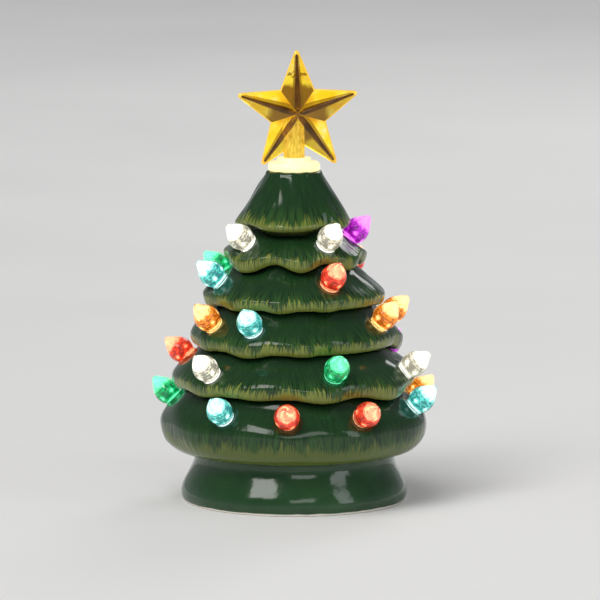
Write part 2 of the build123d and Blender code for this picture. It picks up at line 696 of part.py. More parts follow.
# Lamps on the board: a rim, a barrel and a domed end
for lamp in range(LED_COUNT):
    lamp_turn = radians(RIGHT_ANGLE + FULL_TURN * lamp / LED_COUNT)
    lamp_plane = Plane(origin=(LED_PLACE_R * cos(lamp_turn), LED_PLACE_R * sin(lamp_turn), BOARD_TOP_Z))
    lamp_section = Plane(origin=lamp_plane.origin, x_dir=(1, 0, 0), z_dir=(0, -1, 0))
    with BuildPart() as led_lamp:
        with BuildSketch(lamp_section):
            with BuildLine():
                lamp_side = Polyline(
                    (0, 0),
                    (LED_RIM_R, 0),
                    (LED_RIM_R, LED_RIM_H),
                    (LED_R, LED_RIM_H),
                    (LED_R, LED_H - LED_R),
                )
                dome = RadiusArc(lamp_side @ 1, (0, LED_H), -LED_R)
                Line(dome @ 1, lamp_side @ 0)
            make_face()
        revolve(axis=Axis(lamp_plane.origin, (0, 0, 1)))
    led_lamp.part.label = f"led_lamp_{lamp + 1}"
    export_step(led_lamp.part, f"parts/led_lamp_{lamp + 1}.step")

# Chip resistor beside the lamps
with BuildPart() as resistor:
    with BuildSketch(Plane.XY.offset(BOARD_TOP_Z)):
        with Locations((0, -RESISTOR_Y)):
            Rectangle(RESISTOR_L, RESISTOR_W)
    extrude(amount=RESISTOR_T)
resistor.part.label = "resistor"
export_step(resistor.part, "parts/resistor.step")
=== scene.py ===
"""Looks of a table-top ceramic Christmas tree, lit from inside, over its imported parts.

Shapes are worked out in millimetres from the same sizes as the parts, and go into the meshes in metres.
Azimuth is measured from the front, -Y, and grows towards +X. Tiers and rows are counted from the top down.
"""

import bpy
import numpy as np
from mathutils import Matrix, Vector


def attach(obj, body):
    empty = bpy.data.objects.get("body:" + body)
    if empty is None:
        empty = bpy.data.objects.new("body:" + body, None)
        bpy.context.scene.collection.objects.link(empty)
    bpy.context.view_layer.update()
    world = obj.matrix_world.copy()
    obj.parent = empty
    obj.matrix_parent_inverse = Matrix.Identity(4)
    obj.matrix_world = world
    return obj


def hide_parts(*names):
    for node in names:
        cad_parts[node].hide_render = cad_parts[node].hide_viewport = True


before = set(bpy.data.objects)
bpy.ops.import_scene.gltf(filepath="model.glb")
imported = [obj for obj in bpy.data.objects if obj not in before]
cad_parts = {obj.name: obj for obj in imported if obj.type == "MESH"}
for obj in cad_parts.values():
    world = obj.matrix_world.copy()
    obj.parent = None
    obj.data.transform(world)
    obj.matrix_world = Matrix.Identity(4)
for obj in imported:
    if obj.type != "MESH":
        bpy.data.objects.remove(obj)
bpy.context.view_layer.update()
scene = bpy.context.scene

MM = 0.001

# Ceramic base
BASE_H = 20.0
FOOT_R = 43.6
FOOT_BEVEL = 0.7
FOOT_EASE_R = 0.25
FOOT_EASE_Z = 0.2
BARE_FOOT_H = 0.9
BELLY_R = 44.5
BELLY_Z = 2.2
FLANK_R = 41.7
FLANK_Z = 11.0
SHOULDER_R = 39.5
SHOULDER_ROUND = 1.2
BASE_BORE_R = 36.6
DECK_T = 3.2
RING_R = 35.2
RING_T = 3.2
RING_H = 4.5
RING_FILLET = 0.6
RING_BEVEL = 0.5
BASE_SIDE_ROWS = 22
BASE_COLUMNS = 160

# Ceramic tree
LAST_TIER = 5
TREE_H = 110.4
TREE_TOP_Z = BASE_H + TREE_H
TREE_R = 52.6
TREE_TOP_R = 11.2
TOP_ROUND = 1.4
TREE_FOOT_LAND_R = 43.4
TREE_MOUTH_R = 36.6
WALL = 3.8
TOP_T = 5.0
LIP_TUCK = 2.6
LIP_OVERHANG = 2.8
LIP_LIFTS = (2.2, 0.0, 0.0, 0.0, 0.0)
WIDE_Z = BASE_H + TREE_H * np.array([0.822, 0.708, 0.558, 0.408, 0.259, 0.104])
WIDE_R = TREE_R * np.array([0.425, 0.540, 0.692, 0.806, 0.924, 1.0])
LIP_Z = BASE_H + TREE_H * np.array([0.787, 0.668, 0.513, 0.362, 0.214])
VALLEY_R = WIDE_R[:LAST_TIER] - LIP_TUCK - LIP_OVERHANG
FACE_BULGES = np.array([1.05, 1.1, 1.3, 1.5, 1.6])
HOLLOW_SHARE = 0.2
CONE_SHARES = (0.0, 0.25, 0.6, 1.0)
CONE_BULGE_SHARES = (0.0, 0.02, 0.015, 0.0)
SKIN_COLUMNS = 440
FOOT_ROWS = 14
UNDER_ROWS = 5
LIP_ROWS = 10
FACE_ROWS = 17
CONE_ROWS = 26
TOP_ROWS = 5

# Arches of the wavy edges: how far an edge rises and swells, and the arches' width and places
LOBE_RISES = (1.8, 4.2, 4.2, 4.2, 4.2)
LOBE_SWELLS = (1.5, 2.6, 1.5, 3.2, 1.8, 1.5)
WIDE_RISE_SHARE = 0.55
ARCH_HALF_WIDTH = 17.0
BARE_ARCHES = ((), (-17, 78), (7, 38, -96), (-10, 48, -78), (-68,))
FOOT_LOBES = (-150, -104, -62, -22, 14, 52, 96, 140)

# Skirt: the length up a tier from the lip's edge, which grooves and glaze follow
FOOT_SKIRT = 6.4
FACE_SKIRT_STEP = 1.0
TOP_SKIRT = 20.0

# Reach and share of the near-black in hollows and under lips: partly thick glaze that pools there, partly
# painted shade under the lips
HOLLOW_POOL_AND_SHADE = 4.0
LIP_POOL_AND_SHADE = 1.4
LIP_POOL_AND_SHADE_SHARE = 0.5
UNDER_POOL_AND_SHADE_FADE = 0.3

# Combed grooves, lumps of hand-worked clay, and brush strokes
PHASE_SPAN = 6.28
COMB_SEED = 20
COMB_WAVES = 6
COMB_LENGTHS = (2.0, 5.0)
COMB_DRIFT = 0.9
COMB_BENDS = (1.3, 0.9)
COMB_DRIFT_RISE = 6.0
COMB_DEPTH = 0.17
COMB_START = 3.0
COMB_FADE = 11.0
COMB_FADE_FROM = 1.4
COMB_LEAST = 0.1
LUMP_SEED = 7
LUMP_WAVES = 5
LUMP_COUNTS = (4, 14)
LUMP_LEAN = 0.4
LUMP_DEPTH = 0.5
STROKE_SWAY = np.radians(2.5)
STROKE_SWAY_RISE = 14.0
STROKE_SWAY_END = 20.0
STROKE_STRETCH = 0.07
STROKE_TIER_STEP = 40.0

# Bulbs by row: azimuth, tilt and colour
BULB_ROWS = (
    ((-57, 38, "white"), (35, 48, "white"), (100, 45, "purple"), (168, 44, "green"), (-140, 44, "red")),
    ((-110, 42, "green"), (-76, 41, "blue"), (29, 48, "red"), (134, 46, "red"), (178, 44, "amber"),
     (-146, 44, "purple")),
    ((-59, 45, "amber"), (-26, 46, "blue"), (65, 49, "amber"), (98, 42, "amber"), (140, 44, "red"),
     (180, 44, "white"), (-138, 44, "green")),
    ((-106, 34, "red"), (-46, 42, "white"), (21, 42, "green"), (74, 36, "white"), (126, 44, "purple"),
     (168, 44, "blue"), (-148, 44, "amber")),
    ((-102, 44, "green"), (-34, 42, "blue"), (-3, 27, "red"), (33, 24, "red"), (76, 44, "blue"),
     (104, 46, "amber"), (144, 44, "white"), (180, 44, "green"), (-142, 44, "purple")),
)
# Share of the way down a face where bulbs sit, and the few that sit lower, by row and place
SEAT_SHARE = 0.42
LOW_SEATS = {(1, 1): 0.50, (3, 1): 0.53, (3, 3): 0.60}
SEAT_DEPTH = 0.7
SEAT_EDGE = 4.4
SEAT_EASE = 1.5
SEAT_SINK = 0.05

# One plastic bulb
BULB_R = 5.0
BULB_L = 12.6
BULB_BELLY_Z = 0.37 * BULB_L
BULB_SHOULDER_Z = 0.714 * BULB_L
BULB_SHOULDER_R = 0.67 * BULB_R
BULB_TIP_R = 0.5
BULB_NECK_R = 3.5
BULB_SLOPES = (0.9, 0.0, -0.76, -1.0)
BULB_FLANGE_R = 4.0
BULB_FLANGE_T = 0.8
FLANGE_BEVEL = 0.2
PEG_R = 2.4
PEG_L = 5.4
PEG_BEVEL = 0.4
PEG_FILLET = 0.1
BULB_FLAME_ROWS = 28
BULB_COLUMNS = 40

# Lit core of a bulb: its section, its light by height, and what is added or taken away
CORE_SIDES = 36
CORE_ROWS = 22
CORE_STEPS = 12
CORE_STEP_Z = 7.2
CORE_PLACES = (0.25, 0.6, 1.4, 2.6, 4.4, 6.4, 8.2, 10.0, 11.4, 12.2)
CORE_RADII = (0.0, 1.9, 2.5, 3.1, 3.4, 3.1, 2.6, 1.7, 0.85, 0.0)
CORE_ZONES = (0.3, 1.5, 2.1, 3.0, 4.8, 6.4, 7.6, 10.0)
CORE_ZONE_LEVELS = (1.1, 1.0, 0.20, 0.14, 0.16, 0.32, 0.92, 1.1)
CORE_FLAT = 0.01
CORE_TREAD_SHARE = 0.60
CORE_SECTORS = 3
CORE_SECTOR_SHARE = 0.45
CORE_RING_STEP = 1.15
CORE_RING_SHARE = 0.08
CORE_FLECK_SHARE = 0.30
CORE_STREAK_SHARE = 0.12
CORE_GLINTS = 4
CORE_GLINT_Z = 3.6
CORE_GLINT_SIZE = 0.85
CORE_GLINT_SHARE = 1.0
CORE_DIM_SHARE = 0.4
CORE_LEVELS = (0.25, 0.56, 0.84)
BULB_STRENGTHS = (0.55, 0.85, 1.1, 1.45)

# Star
STAR_R = 26.2
STAR_INNER_SHARE = 0.435
STAR_DEPTH = 11.0
STAR_RIM_T = 2.4
STAR_LEAN = np.radians(1.3)
STAR_POINTS = 5
STAR_CENTRE_Z = TREE_TOP_Z + 22.6
STAR_SIDE = 1.5
STAR_BORDER_SHARE = 0.945
STAR_BORDER_H = 1.9
STAR_TIP_ROUND = 1.0
STAR_TIP_STEPS = 9
STAR_EDGE_STEPS = 6
STAR_SHARES = np.array([0.0, 0.08, 0.2, 0.35, 0.5, 0.65, 0.8, 0.9, STAR_BORDER_SHARE])
# Half widths of the ridges' dark bands, painted shade, at the shares above
STAR_RIDGE_SHADE_HALF_WIDTHS = np.array([0.0, 0.45, 1.1, 1.25, 1.0, 0.72, 0.52, 0.42, 0.40])
STAR_RIM_HALF_WIDTH = 0.9
STAR_EDGE_BEVEL = 0.2
STAR_EDGE_FOLD = 20.0
STAR_FACET, STAR_SHADED, STAR_RIDGE_SHADE, STAR_RIM, STAR_STEM, STAR_BORE = range(6)
# Arms from the top one to the left: is the facet after the arm's ridge painted in shade, and the next arm's
# first
STAR_SHADED_AFTER = np.array([True, True, True, False, False])
STAR_SHADED_NEXT = np.array([False, False, True, True, True])
STEM_R = 4.2
STEM_BORE_R = 3.0
STEM_FOOT_Z = TREE_TOP_Z + 0.2
STEM_BORE_TOP_Z = STAR_CENTRE_Z - 4.2
STEM_TOP_Z = STAR_CENTRE_Z - 0.6
STEM_COLUMNS = 32
STEM_SEEN_TOP_Z = STAR_CENTRE_Z - 2.6
STEM_SEEN_EASE = 1.0
FLOW_LINE_Z = STAR_CENTRE_Z + 15.2
FLOW_LINE_SWING = 5.0
FLOW_LINE_T = 0.45

# Collar of the star
COLLAR_R = 10.2
COLLAR_H = 3.6
COLLAR_STEP_R = 6.6
COLLAR_STEP_H = 1.6
COLLAR_ROUND = 1.6
COLLAR_STEP_ROUND = 0.4
COLLAR_BEVEL = 0.3
COLLAR_PEG_R = 6.0
COLLAR_PEG_L = 7.0
COLLAR_COLUMNS = 72
SLIP_FIT = 0.15


# Surfaces
def joined(*parts):
    """Arrays end to end."""
    return np.concatenate(parts)


def quads_between(rows, columns):
    """Corner numbers of a grid's quads, row by row: row i to row i + 1 and column j to column j + 1, with
    the last row and column back to the first."""
    row, column = np.meshgrid(np.arange(rows), np.arange(columns), indexing="ij")
    above, right = (row + 1) % rows, (column + 1) % columns
    low, high = row * columns, above * columns
    return np.stack([low + column, low + right, high + right, high + column], -1).reshape(-1, 4)


def turned(profile, columns):
    """A profile turned round Z: point (i, j) is radius i at azimuth j, raised to height i."""
    azimuth = np.arange(columns) * 2 * np.pi / columns
    radius, height = profile.T[:, :, None]
    return np.stack([radius * np.sin(azimuth), -radius * np.cos(azimuth), height + 0 * azimuth], -1)


def capped(grid, before=0):
    """A grid whose first and last rows are one point each: the quads between the rows that stay, then a fan
    of triangles from each such point to its neighbour row. Corners are counted on from the points
    before."""
    body = grid[1:-1]
    rows, columns = body.shape[:2]
    points = np.vstack([body.reshape(-1, 3), grid[0].mean(0), grid[-1].mean(0)])
    ring = np.arange(columns)
    after = (ring + 1) % columns
    top = (rows - 1) * columns
    pole = 0 * ring + rows * columns
    quads = quads_between(rows, columns)[:-columns]
    fans = np.stack([joined(pole, top + ring), joined(after, top + after), joined(ring, pole + 1)], -1)
    return points, (before + quads).tolist() + (before + fans).tolist()


def placed(name, data):
    """A new object in the scene."""
    made = bpy.data.objects.new(name, data)
    scene.collection.objects.link(made)
    return made


def make_piece(name, points, faces, body, nodes, finishes, which, sharp=50.0, notes=None):
    """Puts a worked-out surface into a mesh in metres, on a body, in place of CAD nodes. which gives each
    face's finish, sharp is the fold angle that stays an edge, and notes are values carried by the
    points."""
    mesh = bpy.data.meshes.new(name)
    mesh.from_pydata((points * MM).tolist(), [], faces)
    for surface in finishes:
        mesh.materials.append(surface)
    mesh.polygons.foreach_set("material_index", np.asarray(which, np.int32))
    mesh.shade_smooth()
    for note, values in (notes or {}).items():
        values = np.asarray(values, np.float32)
        kind, field = ("FLOAT", "value") if values.ndim == 1 else ("FLOAT_VECTOR", "vector")
        mesh.attributes.new(note, kind, "POINT").data.foreach_set(field, values.ravel())
    mesh.update()
    mesh.set_sharp_from_angle(angle=np.radians(sharp))
    made = placed(name, mesh)
    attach(made, body)
    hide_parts(*nodes)
    return made


def make_turned(name, profile, columns, body, node, finishes, which):
    """A closed section turned round Z. which gives the finish of each side of the section."""
    points = turned(profile, columns).reshape(-1, 3)
    faces = quads_between(len(profile), columns).tolist()
    make_piece(name, points, faces, body, [node], finishes, np.repeat(which, columns))


# Nodes of the materials
def fill(socket, value):
    """Sets a socket to a plain value. A colour gets full alpha."""
    socket.default_value = (*value, 1.0) if socket.type == "RGBA" else value


def finish(name, **sockets):
    """A new node material, whose shader's named sockets get the values given."""
    material = bpy.data.materials.new(name)
    material.use_nodes = True
    inputs = material.node_tree.nodes["Principled BSDF"].inputs
    for socket, value in sockets.items():
        fill(inputs[socket.replace("_", " ")], value)
    return material, material.node_tree


def put(tree, kind, inputs, **settings):
    """Adds one node, sets its settings, links or sets its inputs, and gives its outputs."""
    made = tree.nodes.new("ShaderNode" + kind)
    for setting, value in settings.items():
        setattr(made, setting, value)
    for place, value in inputs.items():
        if isinstance(value, bpy.types.NodeSocket):
            tree.links.new(value, made.inputs[place])
        else:
            fill(made.inputs[place], value)
    return made.outputs


def drive(tree, socket, value):
    """Drives one of the shader's sockets by a value."""
    tree.links.new(value, tree.nodes["Principled BSDF"].inputs[socket])


def carried(tree, note, output="Fac"):
    """A value carried by the piece's points."""
    return put(tree, "Attribute", {}, attribute_name=note)[output]


def here(tree):
    """The place on the object, in metres."""
    return put(tree, "TexCoord", {})["Object"]


def along(tree, axis):
    """The place on the object along one axis, in metres."""
    return put(tree, "SeparateXYZ", {0: here(tree)})[axis]


def drawn_out(tree, stretch):
    """The place on the object with its height shrunk, which draws out what is laid on it."""
    return put(tree, "Mapping", {"Vector": here(tree), "Scale": (1.0, 1.0, stretch)})[0]


def mottle(tree, scale, detail=2.0, roughness=0.5, at=None):
    """Soft noise from 0 to 1 in patches about 1/scale across, on the object or at given places."""
    inputs = {"Vector": at or here(tree), "Scale": scale, "Detail": detail, "Roughness": roughness}
    return put(tree, "TexNoise", inputs)["Fac"]


def ranged(tree, value, low, high, to_low=0.0, to_high=1.0, smooth=False):
    """Carries low to high over to to_low to to_high, and stops there."""
    inputs = {0: value, 1: low, 2: high, 3: to_low, 4: to_high}
    return put(tree, "MapRange", inputs, interpolation_type="SMOOTHSTEP" if smooth else "LINEAR")[0]


def worked(tree, operation, *values):
    """One step of arithmetic on values."""
    return put(tree, "Math", dict(enumerate(values)), operation=operation)[0]


def added(tree, *values):
    """The sum of two values."""
    return worked(tree, "ADD", *values)


def swung(tree, noise, width):
    """Noise from 0 to 1 carried over to half the width on both sides of 0."""
    return worked(tree, "MULTIPLY_ADD", noise, width, -width / 2)


def mixed(tree, share, first, second):
    """The first colour at share 0 and the second at share 1."""
    return put(tree, "Mix", {0: share, 6: first, 7: second}, data_type="RGBA")[2]


def relief(tree, height, depth, strength=0.5):
    """Bump of the given depth in metres."""
    bump = put(tree, "Bump", {"Height": height, "Distance": depth, "Strength": strength})
    drive(tree, "Normal", bump["Normal"])


def clouded(name, dark, light, scale, **sockets):
    """Two close colours that drift into each other in patches about 1/scale across."""
    material, tree = finish(name, **sockets)
    drive(tree, "Base Color", mixed(tree, mottle(tree, scale), dark, light))
    return material


def speckled(name, dark, light, scale, rough, depth, **sockets):
    """A moulded or cast surface: two close colours in fine grain, with the grain in its roughness and
    relief."""
    material, tree = finish(name, **sockets)
    grain = mottle(tree, scale, 3.0, 0.6)
    drive(tree, "Base Color", mixed(tree, grain, dark, light))
    drive(tree, "Roughness", ranged(tree, grain, 0.3, 0.7, rough * 0.85, rough * 1.15))
    relief(tree, grain, depth * MM)
    return material


# Ceramic finishes
DEEP_GREEN = (0.008, 0.031, 0.010)
FULL_GREEN = (0.013, 0.049, 0.014)
LEAF_GREEN = (0.030, 0.084, 0.018)
# Near-black of hollows and lip undersides: pooled glaze and painted shade
POOL_AND_SHADE_GREEN = (0.003, 0.013, 0.005)
LIP_YELLOW = (0.21, 0.245, 0.045)
LIP_OLIVE = (0.095, 0.130, 0.026)
BASE_GREEN = (0.012, 0.048, 0.016)
BASE_GREEN_THIN = (0.020, 0.070, 0.022)
BISQUE = (0.78, 0.74, 0.66)
BISQUE_GREY = (0.66, 0.61, 0.54)
TOP_OLIVE_SHARE = 0.35


def brushed_glaze():
    """Dark green strokes brushed down each tier over a pale lip. The strokes are noise drawn out along the
    tier's fall. Where the height above the lip is under a ragged line the pale glaze shows; above it the
    green thickens and darkens. Hollows and lip undersides go nearly black: partly thick glaze that pools
    there, partly painted shade under the lips."""
    material, tree = finish("brushed_glaze", Roughness=0.11, Specular_IOR_Level=0.4)
    comb = carried(tree, "comb", "Vector")
    skirt = carried(tree, "skirt")
    strokes = mottle(tree, 1.1, 1.0, at=comb)
    hairs = mottle(tree, 2.6, 1.0, at=comb)
    clumps = mottle(tree, 0.15, 1.0, at=comb)
    ragged = added(tree, swung(tree, strokes, 9.0), swung(tree, hairs, 9.0))
    above = added(tree, skirt, added(tree, ragged, swung(tree, clumps, 8.0)))
    cover = ranged(tree, above, 3.6, 6.6, smooth=True)
    thick = ranged(tree, added(tree, above, skirt), 12.0, 30.0, smooth=True)
    lip = mixed(tree, carried(tree, "olive"), LIP_YELLOW, LIP_OLIVE)
    lip = mixed(tree, ranged(tree, hairs, 0.35, 0.75, 0.0, 0.6), lip, LIP_OLIVE)
    thin = mixed(tree, ranged(tree, strokes, 0.42, 0.60), DEEP_GREEN, LEAF_GREEN)
    dense = mixed(tree, ranged(tree, hairs, 0.35, 0.70), DEEP_GREEN, FULL_GREEN)
    colour = mixed(tree, cover, lip, mixed(tree, thick, thin, dense))
    # Hollows and lip undersides go near black: partly pooled glaze, partly painted shade
    drive(tree, "Base Color", mixed(tree, carried(tree, "pool_and_shade"), colour, POOL_AND_SHADE_GREEN))
    fine = worked(tree, "MULTIPLY", strokes, ranged(tree, thick, 0.0, 1.0, 1.0, 0.12))
    relief(tree, fine, 0.0002)
    return material


def plain_glaze():
    """Even dark green glaze over hand-worked clay, so reflections wander. It stops in a ragged line just
    above the foot, where a thin rim of bare clay shows."""
    material, tree = finish("plain_glaze")
    drift = mottle(tree, 60.0, 3.0)
    swells = mottle(tree, 32.0, 1.0)
    green = mixed(tree, ranged(tree, drift, 0.35, 0.7), BASE_GREEN, BASE_GREEN_THIN)
    stop = added(tree, along(tree, "Z"), swung(tree, mottle(tree, 140.0), 0.0008))
    glazed = ranged(tree, stop, BARE_FOOT_H * MM * 0.85, BARE_FOOT_H * MM * 1.15)
    drive(tree, "Base Color", mixed(tree, glazed, BISQUE, green))
    drive(tree, "Roughness", ranged(tree, glazed, 0.0, 1.0, 0.75, 0.12))
    relief(tree, worked(tree, "MULTIPLY_ADD", drift, 0.45, swells), 0.0022)
    return material


def bare_clay():
    """Unglazed clay with a fine chalky grain."""
    material, tree = finish("bare_clay", Roughness=0.85)
    grain = mottle(tree, 900.0, 4.0, 0.7)
    drive(tree, "Base Color", mixed(tree, grain, BISQUE_GREY, BISQUE))
    relief(tree, grain, 0.0001)
    return material


# Bulb colours: the plastic's own tint, then the deep, full and hot light inside it
BULB_TINTS = {
    "white": ((0.94, 0.93, 0.86), (0.36, 0.34, 0.27), (0.74, 0.71, 0.58), (1.0, 1.0, 0.94)),
    "green": ((0.25, 0.82, 0.50), (0.00, 0.25, 0.09), (0.01, 0.54, 0.20), (0.30, 1.0, 0.66)),
    "red": ((0.95, 0.34, 0.22), (0.48, 0.02, 0.01), (0.90, 0.08, 0.03), (1.0, 0.72, 0.42)),
    "blue": ((0.55, 0.90, 0.87), (0.02, 0.30, 0.29), (0.14, 0.66, 0.61), (0.94, 1.0, 0.99)),
    "amber": ((0.97, 0.66, 0.24), (0.52, 0.12, 0.00), (0.90, 0.34, 0.03), (1.0, 0.88, 0.52)),
    "purple": ((0.78, 0.28, 0.84), (0.27, 0.00, 0.33), (0.58, 0.02, 0.64), (1.0, 0.40, 0.98)),
}


def bulb_plastic(colour):
    """Clear tinted plastic with a faint crackle, that glows a little. It is paler towards the tip: partly
    frosting, partly painted light where the light inside gathers in the tip.
    """
    tint, _, light, _ = BULB_TINTS[colour]
    material, tree = finish(
        "bulb_plastic_" + colour, Roughness=0.03, IOR=1.45, Transmission_Weight=0.95,
        Emission_Color=light, Emission_Strength=0.04, Coat_Weight=0.1, Coat_Roughness=0.02,
    )
    crackle = mottle(tree, 620.0)
    # Paler tip: partly frosting, partly painted light gathered in the tip
    tip = ranged(tree, carried(tree, "along"), 0.35, 0.95, 0.0, 0.35, True)
    pale = put(tree, "Clamp", {0: added(tree, tip, swung(tree, crackle, 0.24))})[0]
    drive(tree, "Base Color", mixed(tree, pale, tint, (1.0, 1.0, 1.0)))
    relief(tree, crackle, 0.0002, 0.15)
    return material


def bulb_light(colour, level):
    """Lit facets inside a bulb, over a dimmer grain of the same colour. The levels run from deep light over
    full and bright, which is halfway to hot, up to hot."""
    deep, full, hot = np.array(BULB_TINTS[colour][1:])
    light = (deep, full, (full + hot) / 2, hot)[level]
    return clouded(f"bulb_light_{level}_{colour}", light * CORE_DIM_SHARE, light, 900.0, Roughness=0.3,
                   Emission_Color=light, Emission_Strength=BULB_STRENGTHS[level])


# Star and collar finishes
AMBER_DARK = (1.0, 0.58, 0.008)
AMBER_LIGHT = (1.0, 0.88, 0.07)
AMBER_GLINT = (1.0, 0.97, 0.55)
# Middles of the facets, painted shade: darker in the star's middle, more so on the shaded facets
GOLD_MIDDLE_SHADE = (0.50, 0.18, 0.003)
SHADED_FACET_MIDDLE_SHADE = (0.14, 0.046, 0.001)
# Ridge bands: painted shade along the star's ridges
RIDGE_SHADE_DARK = (0.055, 0.018, 0.0005)
RIDGE_SHADE_LIGHT = (0.22, 0.085, 0.002)
FLOW_BROWN = (0.06, 0.020, 0.001)
STEM_SHADE = (0.50, 0.37, 0.018)
STEM_PALE = (1.0, 0.90, 0.30)


def stem_frost(tree):
    """Grain of the frosted stem, drawn out lengthwise, and its colour."""
    grain = ranged(tree, mottle(tree, 1100.0, at=drawn_out(tree, 0.3)), 0.35, 0.65)
    return grain, mixed(tree, grain, STEM_SHADE, STEM_PALE)


def stem_seen(tree):
    """1 where the stem lies behind the facets, from a little under the star's middle down, and 0
    elsewhere: where the lit stem's colour is painted on, a painted view through the plastic."""
    off = worked(tree, "ABSOLUTE", along(tree, "X"))
    near = ranged(tree, off, STEM_R * MM * 0.90, STEM_R * MM * 1.04, 1.0, 0.0, True)
    low, high = (STEM_SEEN_TOP_Z - STEM_SEEN_EASE) * MM, (STEM_SEEN_TOP_Z + STEM_SEEN_EASE) * MM
    return worked(tree, "MULTIPLY", near, ranged(tree, along(tree, "Z"), low, high, 1.0, 0.0, True))


def flow_line(tree):
    """1 on a wavy line across the top arm, where the plastic met in the mould, and 0 elsewhere."""
    swing = swung(tree, mottle(tree, 480.0, 1.0, at=drawn_out(tree, 0.0)), FLOW_LINE_SWING * MM)
    line_z = added(tree, swing, FLOW_LINE_Z * MM)
    off = worked(tree, "ABSOLUTE", worked(tree, "SUBTRACT", along(tree, "Z"), line_z))
    return ranged(tree, off, FLOW_LINE_T * MM / 2, FLOW_LINE_T * MM, 1.0, 0.0)


def star_plastic(name, middle, start, end, glow):
    """Clear amber plastic with pale glints and slight flow lines from moulding, that glows a little. Out
    along an arm, from one share of the way to another, it turns from the given colour, painted shade in the
    star's middle, to amber. The stem's look is painted on where the stem lies behind, and a dark flow line
    crosses the top arm."""
    material, tree = finish(
        name, Roughness=0.01, IOR=1.47, Transmission_Weight=0.95, Specular_IOR_Level=0.3,
        Emission_Color=(1.0, 0.60, 0.005), Emission_Strength=glow, Coat_Weight=0.05, Coat_Roughness=0.02,
    )
    flow = mottle(tree, 130.0, 3.0)
    glint = ranged(tree, mottle(tree, 230.0, 1.0), 0.60, 0.70)
    out = added(tree, carried(tree, "arm"), swung(tree, flow, 0.3))
    amber = mixed(tree, ranged(tree, flow, 0.40, 0.60), AMBER_DARK, AMBER_LIGHT)
    amber = mixed(tree, glint, amber, AMBER_GLINT)
    # Painted shade: the facets darken towards the star's middle
    amber = mixed(tree, ranged(tree, out, start, end, smooth=True), middle, amber)
    # Painted view of the lit stem through the plastic, where it lies behind the facets
    amber = mixed(tree, stem_seen(tree), amber, stem_frost(tree)[1])
    drive(tree, "Base Color", mixed(tree, flow_line(tree), amber, FLOW_BROWN))
    relief(tree, flow, 0.0003, 0.12)
    return material


def star_ridge_shade():
    """The star's ridges, painted dark brown: painted shade for the dark that the clear plastic shows along
    its ridges.
    """
    material, tree = finish(
        "star_ridge_shade", Roughness=0.03, IOR=1.47, Transmission_Weight=0.85, Specular_IOR_Level=0.2,
        Emission_Color=(1.0, 0.42, 0.0), Emission_Strength=0.025,
    )
    flow = ranged(tree, mottle(tree, 160.0, 3.0), 0.40, 0.65)
    drive(tree, "Base Color", mixed(tree, flow, RIDGE_SHADE_DARK, RIDGE_SHADE_LIGHT))
    return material


def star_edge():
    """The star's polished rim, where light that runs through it comes out."""
    return clouded("star_edge", (0.95, 0.52, 0.02), (1.0, 0.74, 0.10), 240.0, Roughness=0.12,
                   Transmission_Weight=0.3, Emission_Color=(1.0, 0.58, 0.04), Emission_Strength=0.30,
                   Coat_Weight=0.4, Coat_Roughness=0.02)


def star_stem():
    """The stem's clear wall, frosted by moulding."""
    material, tree = finish(
        "star_stem", Roughness=0.08, IOR=1.47, Transmission_Weight=0.8,
        Emission_Color=(1.0, 0.76, 0.08), Emission_Strength=0.12,
    )
    grain, colour = stem_frost(tree)
    drive(tree, "Base Color", colour)
    relief(tree, grain, 0.0002, 0.3)
    return material


def star_light():
    """The stem's frosted bore, where the lamp's light comes up."""
    return clouded("star_light", (0.74, 0.56, 0.06), (0.95, 0.80, 0.20), 800.0, Roughness=0.5,
                   Emission_Color=(1.0, 0.74, 0.10), Emission_Strength=0.30)


def collar_plastic():
    """Pale amber plastic, glowing all through."""
    return clouded("collar_plastic", (0.94, 0.74, 0.26), (1.0, 0.90, 0.55), 260.0, Roughness=0.18,
                   Emission_Color=(1.0, 0.86, 0.42), Emission_Strength=0.66,
                   Coat_Weight=0.3, Coat_Roughness=0.03)


# Finishes in the base
CELL_BAND_X = 8.5
CELL_BAND_EDGE = 0.2
FILM_BLACK = (0.02, 0.02, 0.024)
FILM_COPPER = (0.42, 0.20, 0.08)
FILM_WORN = (0.30, 0.29, 0.28)


def cell_film(name, toward):
    """Printed film on a cell: dark with a copper band towards the end that the nub is on, and fine wear."""
    material, tree = finish(name, Metallic=0.6)
    across = worked(tree, "MULTIPLY", along(tree, "X"), toward)
    band = ranged(tree, across, CELL_BAND_X * MM, (CELL_BAND_X + CELL_BAND_EDGE) * MM)
    scuff = mottle(tree, 500.0, 3.0)
    film = mixed(tree, band, FILM_BLACK, FILM_COPPER)
    drive(tree, "Base Color", mixed(tree, ranged(tree, scuff, 0.55, 0.75), film, FILM_WORN))
    drive(tree, "Roughness", ranged(tree, scuff, 0.3, 0.7, 0.22, 0.42))
    return material


def lamp_lens():
    """The lit, slightly clouded lens of a lamp."""
    return speckled("lamp_lens", (0.92, 0.86, 0.62), (0.98, 0.94, 0.76), 500.0, 0.12, 0.03,
                    Transmission_Weight=0.4, Emission_Color=(1.0, 0.82, 0.45), Emission_Strength=0.6)


